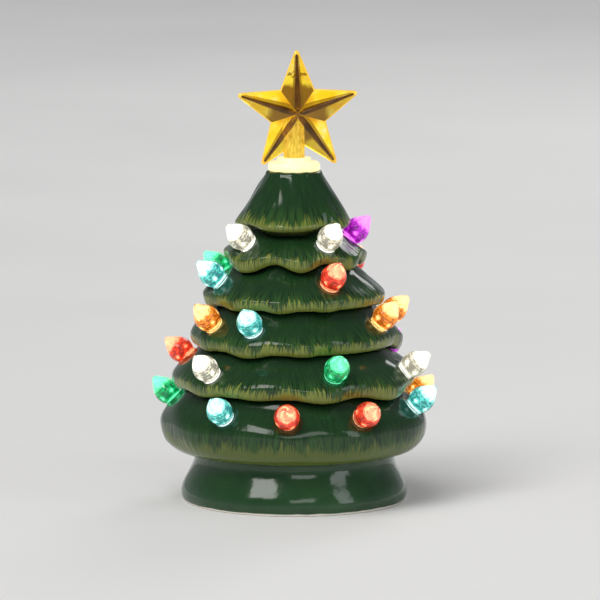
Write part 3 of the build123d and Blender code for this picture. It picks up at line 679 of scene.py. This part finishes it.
# Finishes by node: name, dark and light colour, scale of the grain, roughness, and depth in millimetres
METALS = {
    "hinge_pin": ("pin_steel", (0.50, 0.50, 0.50), (0.64, 0.64, 0.64), 800.0, 0.3, 0.03),
    "board_screws": ("screw_steel", (0.50, 0.50, 0.49), (0.66, 0.65, 0.62), 900.0, 0.32, 0.03),
    "switch_housing": ("switch_steel", (0.55, 0.55, 0.54), (0.68, 0.68, 0.66), 700.0, 0.35, 0.03),
    "contact_plates": ("plate_nickel", (0.66, 0.62, 0.55), (0.80, 0.77, 0.70), 600.0, 0.22, 0.02),
    "contact_springs": ("spring_nickel", (0.62, 0.59, 0.53), (0.80, 0.77, 0.70), 900.0, 0.24, 0.02),
}
MOULDINGS = {
    "switch_knob": ("knob_ivory", (0.66, 0.66, 0.62), (0.76, 0.76, 0.73), 1200.0, 0.45, 0.05),
    "circuit_board": ("board_mask", (0.74, 0.76, 0.72), (0.84, 0.85, 0.81), 300.0, 0.4, 0.03),
    "resistor": ("chip_black", (0.015, 0.015, 0.016), (0.04, 0.04, 0.04), 1200.0, 0.5, 0.03),
}
CASE_BLACK = ("case_black", (0.012, 0.012, 0.013), (0.03, 0.03, 0.032), 1500.0, 0.5, 0.08)
SILICONE = ("silicone", (0.72, 0.72, 0.70), (0.82, 0.82, 0.80), 400.0, 0.35, 0.2)


def dress_nodes():
    """Gives each CAD node in the base its finish. Cells lie head to tail, so their films alternate."""
    finishes = {node: speckled(*values, Metallic=1.0) for node, values in METALS.items()}
    finishes.update({node: speckled(*values) for node, values in MOULDINGS.items()})
    finishes["battery_case"] = finishes["battery_door"] = speckled(*CASE_BLACK)
    finishes["silicone_bead"] = speckled(*SILICONE, Subsurface_Weight=0.2)
    films = (cell_film("cell_film_right", 1.0), cell_film("cell_film_left", -1.0))
    lens = lamp_lens()
    for count in (1, 2, 3):
        finishes[f"battery_cell_{count}"] = films[(count - 1) % 2]
        finishes[f"led_lamp_{count}"] = lens
    for node, surface in finishes.items():
        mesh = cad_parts[node].data
        mesh.materials.clear()
        mesh.materials.append(surface)


# Tree skin
def arch_wave(places, azimuth):
    """Bell curves of one width over each arch's azimuth, added and capped at 1, stretched to run from -1 to
    1."""
    turn = (azimuth[:, None] - np.array(places) + 180) % 360 - 180
    return 2 * np.minimum(np.exp(-((turn / ARCH_HALF_WIDTH) ** 2)).sum(1), 1) - 1


def face_place(tier, share):
    """Radius and height at a share of the way from the hollow above a tier to its widest ring. The height
    falls evenly, and the radius grows as 1 - (1 - share) to a power."""
    grown = 1 - (1 - share) ** FACE_BULGES[tier - 1]
    radius = VALLEY_R[tier - 1] + (WIDE_R[tier] - VALLEY_R[tier - 1]) * grown
    return radius, LIP_Z[tier - 1] + (WIDE_Z[tier] - LIP_Z[tier - 1]) * share


def bulb_seat(row, place):
    """Origin of a bulb's seat, and its side, up and out directions. Out is the bulb's azimuth tilted up,
    and the seat lies at a depth under the tier's face along it."""
    turn, lift = np.radians(BULB_ROWS[row][place][:2])
    seat_r, seat_z = face_place(row + 1, LOW_SEATS.get((row, place), SEAT_SHARE))
    ahead = np.array([np.sin(turn), -np.cos(turn), 0.0])
    side = np.array([np.cos(turn), np.sin(turn), 0.0])
    out = ahead * np.cos(lift) + [0.0, 0.0, np.sin(lift)]
    return ahead * seat_r + [0.0, 0.0, seat_z] - out * SEAT_DEPTH, side, np.cross(out, side), out


def path_length(radius, height):
    """Running length along a profile: the lengths of its steps, added up."""
    return joined([0.0], np.cumsum(np.hypot(np.diff(radius), np.diff(height))))


def faded(value, reach):
    """1 at 0, straight down to 0 at the reach and past it."""
    return np.clip(1 - value / reach, 0, 1)


class TreeRows:
    """Rows of the tree's skin from its foot up: tier, radius and height over azimuth, skirt, and the share
    of pooled glaze and painted shade. Each tier has a wave over azimuth that is 1 on its arches and -1
    between them."""

    def __init__(self, azimuth):
        self.blocks = []
        arches = [[bulb[0] for bulb in row] + list(bare) for row, bare in zip(BULB_ROWS, BARE_ARCHES)]
        self.waves = [arch_wave(places, azimuth) for places in arches + [FOOT_LOBES]]

    def add(self, tier, radius, height, skirt, pool_and_shade, lobes=()):
        """One block of rows. Each lobe is (tier, swell, rise): half its swell times that tier's wave pulls
        the rows in, and half its rise times the wave lifts them."""
        flat = 0 * self.waves[0]
        radius, height = radius[:, None] + flat, height[:, None] + flat
        for waved, swell, rise in lobes:
            radius = radius - swell[:, None] * self.waves[waved] / 2
            height = height + rise[:, None] * self.waves[waved] / 2
        self.blocks.append((np.full(len(radius), tier), radius, height, skirt, pool_and_shade))

    def add_foot(self):
        """The last tier's quarter of an ellipse from the base up to its widest ring. Gives the skirt at its
        end."""
        tier = LAST_TIER
        fall = np.radians(np.linspace(0, 90, FOOT_ROWS))
        radius = TREE_FOOT_LAND_R + (WIDE_R[tier] - TREE_FOOT_LAND_R) * np.sin(fall)
        height = WIDE_Z[tier] - (WIDE_Z[tier] - BASE_H) * np.cos(fall)
        skirt = path_length(radius, height) - FOOT_SKIRT
        self.add(tier, radius, height, skirt, 0 * fall, [(tier, LOBE_SWELLS[tier] * np.sin(fall), 0 * fall)])
        return skirt[-1]

    def add_lip(self, tier):
        """A tier's underside, straight out from the hollow, and its lip, a quarter of an ellipse up to its
        widest ring. Gives the skirt at its end."""
        swell, rise, lift = LOBE_SWELLS[tier], LOBE_RISES[tier], LIP_LIFTS[tier]
        under = np.linspace(0, 1, UNDER_ROWS)[:-1]
        # The underside is painted in shade, a little less out towards the lip
        self.add(tier, VALLEY_R[tier] + LIP_OVERHANG * under, LIP_Z[tier] + lift * under,
                 LIP_OVERHANG * (under - 1), 1 - UNDER_POOL_AND_SHADE_FADE * under,
                 [(tier, swell * under, rise + 0 * under)])
        fall = np.radians(np.linspace(90, 0, LIP_ROWS))
        radius = WIDE_R[tier] - LIP_TUCK * (1 - np.cos(fall))
        height = WIDE_Z[tier] - (WIDE_Z[tier] - LIP_Z[tier] - lift) * np.sin(fall)
        skirt = path_length(radius, height)
        rise_left = rise * (1 - (1 - WIDE_RISE_SHARE) * (1 - np.sin(fall)))
        # Painted shade and pooled glaze at the foot of the lip's curve, where it faces down
        self.add(tier, radius, height, skirt, faded(skirt, LIP_POOL_AND_SHADE) * LIP_POOL_AND_SHADE_SHARE,
                 [(tier, swell + 0 * fall, rise_left)])
        return skirt[-1]

    def add_face(self, tier, skirt):
        """A tier's face from its widest ring up to the hollow under the next lip, whose rise it takes on
        there, or the top tier's cone, a straight line with a slight bulge. The tier's own lobes fade out on
        the way."""
        rise = 0.0 if tier == LAST_TIER else LOBE_RISES[tier] * WIDE_RISE_SHARE
        if tier == 0:
            share = np.linspace(0, 1, CONE_ROWS)[1:]
            bulge = np.interp(share, CONE_SHARES, CONE_BULGE_SHARES)
            radius = WIDE_R[0] + (TREE_TOP_R - WIDE_R[0]) * (share - bulge)
            height = WIDE_Z[0] + (TREE_TOP_Z - TOP_ROUND - WIDE_Z[0]) * share
            fade = faded(share, CONE_SHARES[1])
            above = []
        else:
            share = np.linspace(1, 0, FACE_ROWS)[1:]
            radius, height = face_place(tier, share)
            fade = np.clip((share - SEAT_SHARE) / (1 - SEAT_SHARE), 0, 1)
            near = faded(share, HOLLOW_SHARE)
            above = [(tier - 1, 0 * near, LOBE_RISES[tier - 1] * near)]
        length = path_length(radius, height)
        # Painted shade and pooled glaze in the hollow under the next lip
        pool_and_shade = faded(length[-1] - length, HOLLOW_POOL_AND_SHADE) if above else 0 * length
        self.add(tier, radius, height, skirt + FACE_SKIRT_STEP + length, pool_and_shade,
                 [(tier, LOBE_SWELLS[tier] * fade, rise * fade)] + above)

    def add_top(self):
        """The rounded edge of the top, a quarter of a circle."""
        fall = np.radians(np.linspace(0, 90, TOP_ROWS))[1:]
        self.add(0, TREE_TOP_R - TOP_ROUND * (1 - np.cos(fall)), TREE_TOP_Z - TOP_ROUND * (1 - np.sin(fall)),
                 TOP_SKIRT + 0 * fall, 0 * fall)


def skin_rows(azimuth):
    """The six tiers from the foot up: tier, radius, height, skirt, and share of pooled glaze and painted
    shade of each row.
    """
    rows = TreeRows(azimuth)
    rows.add_face(LAST_TIER, rows.add_foot())
    for tier in range(LAST_TIER - 1, -1, -1):
        rows.add_face(tier, rows.add_lip(tier))
    rows.add_top()
    return [joined(*column) for column in zip(*rows.blocks)]


def inner_wall():
    """The hollow's profile from the hole for the collar down to the mouth: straight lines between places a
    wall's thickness in from each hollow, seat and widest ring."""
    hole = COLLAR_PEG_R + SLIP_FIT
    places = [(hole, TREE_TOP_Z), (hole, TREE_TOP_Z - TOP_T)]
    for tier in range(LAST_TIER + 1):
        if tier:
            seat_r, seat_z = face_place(tier, SEAT_SHARE)
            places += [(VALLEY_R[tier - 1] - WALL, LIP_Z[tier - 1]), (seat_r - WALL, seat_z - WALL / 2)]
        places.append((WIDE_R[tier] - WALL - LOBE_SWELLS[tier], WIDE_Z[tier]))
    return np.array(places + [(TREE_MOUTH_R, BASE_H + RING_H), (TREE_MOUTH_R, BASE_H)])


def combed(turn, tier, skirt):
    """Grooves combed down the tiers, from -1 to 1: the mean of waves round the tree, of seeded length at
    the tier's widest ring and seeded phase, which drift sideways as the skirt rises."""
    chance = np.random.default_rng(COMB_SEED)
    total = 0.0
    for _ in range(COMB_WAVES):
        length = chance.uniform(*COMB_LENGTHS)
        phase = chance.uniform(0, PHASE_SPAN, LAST_TIER + 1)
        drift = chance.uniform(-COMB_DRIFT, COMB_DRIFT)
        count = np.round(2 * np.pi * WIDE_R / length)[tier]
        bend = COMB_BENDS[0] * np.sin(3 * turn + phase[1]) + COMB_BENDS[1] * np.sin(5 * turn + phase[2])
        moved = (drift + bend) * skirt[:, None] / COMB_DRIFT_RISE
        total = total + np.cos(count[:, None] * turn + phase[tier][:, None] + moved)
    return total / COMB_WAVES


def hand_lumps(turn, tier, height):
    """Slow swells of hand-worked clay, from -1 to 1: the mean of waves of seeded count, lean and phase that
    run round and up the tree."""
    chance = np.random.default_rng(LUMP_SEED)
    total = 0.0
    for _ in range(LUMP_WAVES):
        count = chance.integers(*LUMP_COUNTS)
        lean = chance.uniform(-LUMP_LEAN, LUMP_LEAN)
        phase = chance.uniform(0, PHASE_SPAN, LAST_TIER + 1)
        total = total + np.sin(count * turn + lean * height + phase[tier][:, None])
    return total / LUMP_WAVES


def seated(points):
    """Presses a flat seat for each bulb: a point within the seat's edge goes down to just under the seat's
    plane, and its move fades to nothing over the ease outside the edge."""
    for row, bulbs in enumerate(BULB_ROWS):
        for place in range(len(bulbs)):
            origin, *_, out = bulb_seat(row, place)
            rel = points - origin
            high = rel @ out
            off = np.sqrt(np.maximum((rel ** 2).sum(-1) - high ** 2, 0))
            ease = np.clip((off - SEAT_EDGE) / SEAT_EASE, 0, 1)
            keep = ease * ease * (3 - 2 * ease)
            move = np.where(np.abs(high) < BULB_R, (1 - keep) * (high + SEAT_SINK), 0)
            points = points - move[..., None] * out
    return points


def stroke_places(turn, tier, skirt):
    """Where the strokes' noise is laid: round the tier's widest ring, swaying more as the skirt rises, and
    hardly up it, so that the noise is drawn out down the tier."""
    sway = STROKE_SWAY * (np.sin(3 * turn) + 0.7 * np.sin(7 * turn + 1))
    turn = turn + sway * np.clip(skirt, 0, STROKE_SWAY_END)[:, None] / STROKE_SWAY_RISE
    wide = WIDE_R[tier][:, None]
    rise = (skirt * STROKE_STRETCH + STROKE_TIER_STEP * tier)[:, None]
    return np.stack([wide * np.sin(turn), -wide * np.cos(turn), rise + 0 * turn], -1)


def make_tree(finishes):
    """The glazed tree: its rows turned round Z, combed and lumped along their normals and pressed for the
    bulbs, then the bare inner wall."""
    azimuth = np.arange(SKIN_COLUMNS) * 360 / SKIN_COLUMNS
    turn = np.radians(azimuth)
    tier, radius, height, skirt, pool_and_shade = skin_rows(azimuth)
    skin = np.stack([radius * np.sin(turn), -radius * np.cos(turn), height], -1)
    normal = np.cross(np.roll(skin, -1, 1) - np.roll(skin, 1, 1), np.gradient(skin, axis=0))
    normal /= np.linalg.norm(normal, axis=-1, keepdims=True)
    ends = np.clip(skirt / COMB_START, 0, 1) * (1 - pool_and_shade)
    comb_depth = COMB_DEPTH * (ends * np.clip(COMB_FADE_FROM - skirt / COMB_FADE, COMB_LEAST, 1))
    relief_out = comb_depth[:, None] * combed(turn, tier, skirt)
    relief_out += LUMP_DEPTH * ends[:, None] * hand_lumps(turn, tier, height)
    skin = seated(skin + normal * relief_out[..., None])
    wall = turned(inner_wall(), SKIN_COLUMNS)
    rows = np.arange(len(skin) + len(wall))
    faces = quads_between(len(rows), SKIN_COLUMNS).tolist()
    olive = np.where(tier == LAST_TIER, 1.0, np.where(tier == 0, TOP_OLIVE_SHARE, 0.0))
    bare = np.zeros(len(wall))
    notes = {name: np.repeat(joined(values, bare), SKIN_COLUMNS)
             for name, values in (("skirt", skirt), ("pool_and_shade", pool_and_shade), ("olive", olive))}
    notes["comb"] = joined(stroke_places(turn, tier, skirt), wall).reshape(-1, 3)
    make_piece("tree_skin", joined(skin, wall).reshape(-1, 3), faces, "tree", ["tree_shell"],
               finishes, np.repeat(rows >= len(skin), SKIN_COLUMNS), sharp=60.0, notes=notes)


# Base
def arc(centre_r, centre_z, radius, start, end, steps):
    """Points on a circle from one angle to another, in degrees from +R towards +Z."""
    angle = np.radians(np.linspace(start, end, steps))
    return np.stack([centre_r + radius * np.cos(angle), centre_z + radius * np.sin(angle)], -1)


def make_base(finishes):
    """The base's section, turned round Z: a bevelled foot, a side that is one cubic through foot, belly,
    flank and shoulder, a rounded shoulder, the deck, the ring that locates the tree, and the bore. Its
    outside is glazed."""
    shoulder_z, ring_top, ring_in = BASE_H - SHOULDER_ROUND, BASE_H + RING_H, RING_R - RING_T
    bend = np.polyfit([0, BELLY_Z, FLANK_Z, shoulder_z], [FOOT_R, BELLY_R, FLANK_R, SHOULDER_R], 3)
    side_z = np.linspace(FOOT_BEVEL, shoulder_z, BASE_SIDE_ROWS)
    side = np.stack([np.polyval(bend, side_z), side_z], -1)
    foot = [[BASE_BORE_R, 0.0], [FOOT_R - FOOT_BEVEL, 0.0], [side[0, 0] - FOOT_EASE_R, FOOT_EASE_Z]]
    shoulder = arc(SHOULDER_R - SHOULDER_ROUND, shoulder_z, SHOULDER_ROUND, 0, 90, 7)[1:]
    ring = [[RING_R + RING_FILLET, BASE_H], [RING_R, BASE_H + RING_FILLET], [RING_R, ring_top - RING_BEVEL],
            [RING_R - RING_BEVEL, ring_top], [ring_in + RING_BEVEL, ring_top],
            [ring_in, ring_top - RING_BEVEL], [ring_in, BASE_H - DECK_T], [BASE_BORE_R, BASE_H - DECK_T]]
    profile = joined(foot, side, shoulder, ring)
    row = np.arange(len(profile))
    bare = (row < len(foot) - 1) | (row >= len(profile) - len(ring))
    make_turned("base_ring", profile, BASE_COLUMNS, "base", "base_shell", finishes, bare)


# Bulbs
def smooth_through(at, places, values, slopes):
    """A smooth curve through given values: between two places it is the cubic with the given value and
    slope at both ends."""
    places, values, slopes = np.array([places, values, slopes])
    low = np.clip(np.searchsorted(places, at, side="right") - 1, 0, len(places) - 2)
    step = places[low + 1] - places[low]
    t = (at - places[low]) / step
    start = (1 + 2 * t) * (1 - t) ** 2 * values[low] + t * (1 - t) ** 2 * step * slopes[low]
    return start + t ** 2 * (3 - 2 * t) * values[low + 1] + t ** 2 * (t - 1) * step * slopes[low + 1]


def bulb_profile():
    """A bulb's section along its axis: peg, flange, then a flame whose radius is a smooth curve of height
    through neck, belly, shoulder and tip."""
    peg = [[0, -PEG_L], [PEG_R - PEG_BEVEL, -PEG_L], [PEG_R, -PEG_L + PEG_BEVEL], [PEG_R, -PEG_FILLET],
           [PEG_R + PEG_FILLET, 0.0]]
    flange = [[BULB_FLANGE_R - FLANGE_BEVEL, 0.0], [BULB_FLANGE_R, FLANGE_BEVEL],
              [BULB_FLANGE_R, BULB_FLANGE_T - FLANGE_BEVEL], [BULB_FLANGE_R - FLANGE_BEVEL, BULB_FLANGE_T]]
    z = np.linspace(BULB_FLANGE_T, BULB_L - BULB_TIP_R, BULB_FLAME_ROWS)
    radius = smooth_through(z, [BULB_FLANGE_T, BULB_BELLY_Z, BULB_SHOULDER_Z, BULB_L],
                            [BULB_NECK_R, BULB_R, BULB_SHOULDER_R, BULB_TIP_R], BULB_SLOPES)
    tip = arc(0, z[-1] - radius[-1], radius[-1] * np.sqrt(2), 45, 90, 6)[1:]
    return joined(peg, flange, np.stack([radius, z], -1), tip)


def core_profile():
    """Section of the lit core inside a bulb: the radius runs straight between the listed places, and from
    the step height up it climbs in fine steps."""
    body_z = np.linspace(CORE_PLACES[0], CORE_STEP_Z, CORE_ROWS)
    step_z = np.linspace(CORE_STEP_Z, CORE_PLACES[-1], CORE_STEPS + 1)
    body_r, step_r = (np.interp(z, CORE_PLACES, CORE_RADII) for z in (body_z, step_z))
    radius = joined(body_r, np.repeat(step_r, 2)[1:-1])
    return np.stack([radius, joined(body_z, np.repeat(step_z[1:], 2))], -1)


def core_levels(points, faces, chance):
    """Light level of each of a core's facets. The light follows the facet's height: hot at the foot and in
    the tip, deep round the belly. Flecks, streaks, rings and a few hot glints are added, the treads of the
    steps are dimmed by sectors, and the sum is sorted into levels."""
    fans = 2 * CORE_SIDES
    corners = points[np.array(faces[:-fans])], points[np.array(faces[-fans:])]
    x, y, z = joined(*[facets.mean(1) for facets in corners]).T
    tread = joined(*[np.ptp(facets[:, :, 2], axis=1) < CORE_FLAT for facets in corners])
    turn = np.arctan2(x, -y)
    fleck = chance.random(len(faces))
    phase = chance.uniform(0, 2 * np.pi)
    streak = np.sin(5 * turn + phase + 0.5 * z) / 2 + np.sin(8 * turn - 0.9 * z) / 2
    light = np.interp(z, CORE_ZONES, CORE_ZONE_LEVELS)
    light += CORE_FLECK_SHARE * (fleck - 0.5) + CORE_STREAK_SHARE * streak
    light += CORE_RING_SHARE * np.cos(2 * np.pi * z / CORE_RING_STEP)
    light -= tread * (CORE_TREAD_SHARE + CORE_SECTOR_SHARE * np.sin(CORE_SECTORS * turn + phase + z))
    round_glint = np.arcsin(np.sin((turn + phase) * CORE_GLINTS / 2)) * 2 / CORE_GLINTS
    off = np.hypot(round_glint * np.hypot(x, y), z - CORE_GLINT_Z)
    light += CORE_GLINT_SHARE * np.exp(-((off / CORE_GLINT_SIZE) ** 2))
    return np.digitize(light, CORE_LEVELS)


def make_bulb(row, place, colour, finishes):
    """One bulb: its section turned round the seat's out direction, and a many-sided lit core inside it."""
    origin, side, up, out = bulb_seat(row, place)
    shell, shell_faces = capped(turned(bulb_profile(), BULB_COLUMNS))
    core, core_faces = capped(turned(core_profile(), CORE_SIDES), len(shell))
    points = joined(shell, core)
    levels = core_levels(points, core_faces, np.random.default_rng(100 * row + place))
    which = joined(np.zeros(len(shell_faces)), 1 + levels)
    name = f"bulb_{row + 1}_{place + 1}_{colour}"
    make_piece(name + "_look", origin + points @ np.stack([side, up, out]), shell_faces + core_faces, "tree",
               [name], finishes, which, sharp=35.0,
               notes={"along": np.clip(points[:, 2] / BULB_L, 0, 1)})


# Star and collar
def star_row(share, half_ridge):
    """The star's outline at a share of its size, arm by arm, as complex numbers. On each arm the points
    step across the ridge, then down the edge to the inner corner and up the next arm's edge. A point's
    distance along the arm follows from its distance to the ridge: on the arc of the blunt tip, or on the
    straight edge."""
    part = np.pi / STAR_POINTS
    corner = share * STAR_R * STAR_INNER_SHARE * np.exp(1j * part)
    half_tip = np.arctan2(corner.imag, share * STAR_R - corner.real)
    round_r = share * STAR_TIP_ROUND
    centre = share * STAR_R - round_r / np.sin(half_tip)
    steps = np.linspace(0, 1, STAR_EDGE_STEPS + 1)[1:]
    edge = half_ridge + (corner.imag - half_ridge) * steps
    off = joined(half_ridge * np.linspace(-1, 1, STAR_TIP_STEPS), edge)
    on_arc = centre + np.sqrt(np.maximum(round_r ** 2 - off ** 2, 0))
    on_edge = share * STAR_R - np.abs(off) / np.tan(half_tip)
    far = np.abs(off) > round_r * np.cos(half_tip)
    arm = np.where(far, on_edge, on_arc) + 1j * off
    back = np.conj(arm[-2:STAR_TIP_STEPS - 1:-1]) * np.exp(2j * part)
    turn = np.exp(1j * (np.pi / 2 + 2 * part * np.arange(STAR_POINTS)))
    return (turn[:, None] * joined(arm, back)).ravel()


def star_body():
    """The star without its stem: rows from the back apex over a bevelled border and the rim to the front
    apex, each row the star's outline at a share of its size. Gives each face's finish, and each point's
    share of the way out along its arm."""
    shares = joined(STAR_SHARES, [1.0, 1.0], STAR_SHARES[::-1])
    widths = STAR_RIDGE_SHADE_HALF_WIDTHS
    ridges = joined(widths, [STAR_RIM_HALF_WIDTH] * 2, widths[::-1])
    slope = np.interp(STAR_SHARES, (0, STAR_BORDER_SHARE), (STAR_DEPTH / 2, STAR_BORDER_H))
    deep = joined(-slope, [-STAR_RIM_T / 2, STAR_RIM_T / 2], slope[::-1])
    columns = len(star_row(1.0, STAR_RIM_HALF_WIDTH))
    apex = np.zeros(columns)
    grown = np.stack([star_row(*row) if row[0] else apex for row in zip(shares, ridges)])
    grid = np.stack([grown.real, grown.imag, deep[:, None] + 0 * grown.real], -1)
    lean_cos, lean_sin = np.cos(STAR_LEAN), np.sin(STAR_LEAN)
    stand = np.array([[lean_cos, 0, lean_sin], [-lean_sin, 0, lean_cos], [0, -1, 0]])
    points, faces = capped(grid @ stand + [STAR_SIDE, 0, STAR_CENTRE_Z])
    arm, place = np.divmod(np.arange(columns), columns // STAR_POINTS)
    after = place < STAR_TIP_STEPS - 1 + STAR_EDGE_STEPS
    facet = np.where(np.where(after, STAR_SHADED_AFTER[arm], STAR_SHADED_NEXT[arm]), STAR_SHADED, STAR_FACET)
    facet = np.where(place < STAR_TIP_STEPS - 1, STAR_RIDGE_SHADE, facet)
    between = np.repeat(np.arange(1, len(shares) - 2), columns)
    rim = joined(np.abs(between - len(STAR_SHARES)) < 2, np.zeros(2 * columns, bool))
    which = np.where(rim, STAR_RIM, np.tile(facet, len(shares) - 1))
    arm_turn = 2 * np.pi / STAR_POINTS
    spread = grown[1:-1].ravel()
    turn = np.angle(spread) - np.pi / 2
    out = np.abs(spread) * np.cos(turn - arm_turn * np.round(turn / arm_turn)) / STAR_R
    return points, faces, which, joined(out, [0.0, 0.0])


def star_rod(before):
    """The star's stem: a hollow round rod with domed ends, turned round Z. Gives each face's finish."""
    bore = arc(0, STEM_BORE_TOP_Z - STEM_BORE_R, STEM_BORE_R, 90, 0, 7)
    stem = arc(0, STEM_TOP_Z - STEM_R, STEM_R, 0, 90, 8)
    foot = [[STEM_BORE_R, STEM_FOOT_Z], [STEM_R, STEM_FOOT_Z]]
    points, faces = capped(turned(joined(bore, foot, stem), STEM_COLUMNS), before)
    which = np.full(len(faces), STAR_STEM)
    which[:len(bore) * STEM_COLUMNS] = STAR_BORE
    which[-2 * STEM_COLUMNS:-STEM_COLUMNS] = STAR_BORE
    return points, faces, which


def make_star():
    """The star on its stem, with slightly rounded edges. Each point carries the share of the way out along
    its arm."""
    body, body_faces, body_which, out = star_body()
    rod, rod_faces, rod_which = star_rod(len(body))
    # Every facet is painted in shade towards the star's middle; the shaded facets, picked arm by arm by how
    # they face the light, are darker and shaded further out
    finishes = [star_plastic("star_gold", GOLD_MIDDLE_SHADE, start=0.16, end=0.36, glow=0.24),
                star_plastic("star_shaded", SHADED_FACET_MIDDLE_SHADE, start=0.38, end=0.47, glow=0.13),
                star_ridge_shade(), star_edge(), star_stem(), star_light()]
    star = make_piece("star_clear", joined(body, rod), body_faces + rod_faces, "star", ["star"],
                      finishes, joined(body_which, rod_which), sharp=12.0,
                      notes={"arm": joined(out, np.ones(len(rod)))})
    bevel = star.modifiers.new("polished_edges", "BEVEL")
    bevel.width = STAR_EDGE_BEVEL * MM
    bevel.segments = 2
    bevel.limit_method = "ANGLE"
    bevel.angle_limit = np.radians(STAR_EDGE_FOLD)


def make_collar():
    """The collar's section, turned round Z: a bored peg, a rounded step and a smaller step above it."""
    z, bevel, bore = TREE_TOP_Z, COLLAR_BEVEL, STEM_R + SLIP_FIT
    peg_z, step_z, top_z = z - COLLAR_PEG_L, z + COLLAR_H, z + COLLAR_H + COLLAR_STEP_H
    foot = [[bore, peg_z], [COLLAR_PEG_R - bevel, peg_z], [COLLAR_PEG_R, peg_z + bevel],
            [COLLAR_PEG_R, z], [COLLAR_R - bevel, z], [COLLAR_R, z + bevel]]
    edge = arc(COLLAR_R - COLLAR_ROUND, step_z - COLLAR_ROUND, COLLAR_ROUND, 0, 90, 6)
    rise = [[COLLAR_STEP_R + bevel, step_z], [COLLAR_STEP_R, step_z + bevel]]
    step = arc(COLLAR_STEP_R - COLLAR_STEP_ROUND, top_z - COLLAR_STEP_ROUND, COLLAR_STEP_ROUND, 0, 90, 4)
    profile = joined(foot, edge, rise, step, [[bore, top_z]])
    make_turned("collar_clear", profile, COLLAR_COLUMNS, "star", "star_collar",
                [collar_plastic()], np.zeros(len(profile)))


# Pieces
clay = bare_clay()
make_tree([brushed_glaze(), clay])
make_base([plain_glaze(), clay])
bulb_finishes = {
    colour: [bulb_plastic(colour)] + [bulb_light(colour, level) for level in range(len(BULB_STRENGTHS))]
    for colour in BULB_TINTS
}
for row, bulbs in enumerate(BULB_ROWS):
    for place, bulb in enumerate(bulbs):
        make_bulb(row, place, bulb[2], bulb_finishes[bulb[2]])
make_star()
make_collar()
dress_nodes()

# Floor
FLOOR_HALF = 20.0
floor_corners = [(x * FLOOR_HALF, y * FLOOR_HALF, 0) for x, y in ((-1, -1), (1, -1), (1, 1), (-1, 1))]
floor_mesh = bpy.data.meshes.new("floor")
floor_mesh.from_pydata(floor_corners, [], [(0, 1, 2, 3)])
floor_mesh.materials.append(
    speckled("floor_paper", (0.79, 0.785, 0.775), (0.82, 0.815, 0.805), 4.0, 0.7, 0.1))
floor = placed("floor", floor_mesh)

# Light: soft lamps by place, width, height, watts and colour, a skylight, and a sky that darkens upwards
LIGHT_AIM = Vector((0.0, 0.0, 0.08))
SOFT_LAMPS = {
    "key_lamp": ((-1.0, -1.3, 1.5), 0.8, 0.8, 13.0, (1.0, 0.98, 0.95)),
    "fill_lamp": ((1.5, -1.0, 0.8), 0.5, 1.2, 5.0, (0.95, 0.97, 1.0)),
    "front_lamp": ((0.35, -2.4, 1.15), 1.3, 0.6, 6.0, (1.0, 1.0, 1.0)),
    "back_lamp": ((0.7, 1.6, 1.3), 0.8, 0.8, 7.0, (1.0, 1.0, 1.0)),
}
SKYLIGHT_WAY = Vector((0.35, 0.45, -1.0))
SKYLIGHT_STRENGTH = 1.5
SKYLIGHT_SPREAD = np.radians(42)
SKY_COLOUR = (0.80, 0.82, 0.85)
SKY_STRENGTHS = (0.50, 0.20)
SKY_HIGH = 0.45


def facing(way):
    """The turn that makes a lamp or camera look along a direction."""
    return way.to_track_quat("-Z", "Y").to_euler()


def add_light(name, kind, energy, way):
    """A lamp that shines along a direction."""
    data = bpy.data.lights.new(name, kind)
    data.energy = energy
    lamp = placed(name, data)
    lamp.rotation_euler = facing(way)
    return lamp


skylight = add_light("skylight", "SUN", SKYLIGHT_STRENGTH, SKYLIGHT_WAY)
skylight.visible_glossy = False
skylight.data.angle = SKYLIGHT_SPREAD
for name, (place, width, height, watts, colour) in SOFT_LAMPS.items():
    lamp = add_light(name, "AREA", watts, LIGHT_AIM - Vector(place))
    lamp.location = place
    lamp.data.shape = "RECTANGLE"
    lamp.data.size = width
    lamp.data.size_y = height
    lamp.data.color = colour

world = bpy.data.worlds.new("studio")
scene.world = world
world.use_nodes = True
sky_tree = world.node_tree
sky = sky_tree.nodes["Background"]
climb = put(sky_tree, "SeparateXYZ", {0: put(sky_tree, "TexCoord", {})["Generated"]})["Z"]
sky_tree.links.new(ranged(sky_tree, climb, 0.0, SKY_HIGH, *SKY_STRENGTHS, True), sky.inputs["Strength"])
fill(sky.inputs["Color"], SKY_COLOUR)

# Camera
CAMERA_PLACE = Vector((0.0023, -2.12, 0.362))
CAMERA_AIM = Vector((0.0023, 0.0, 0.079))
camera_data = bpy.data.cameras.new("camera")
camera_data.sensor_width = 36.0
camera_data.lens = 326.0
camera_data.clip_start, camera_data.clip_end = 0.1, 100.0
camera = placed("camera", camera_data)
camera.location = CAMERA_PLACE
camera.rotation_euler = facing(CAMERA_AIM - CAMERA_PLACE)
scene.camera = camera
scene.view_settings.view_transform = "Standard"
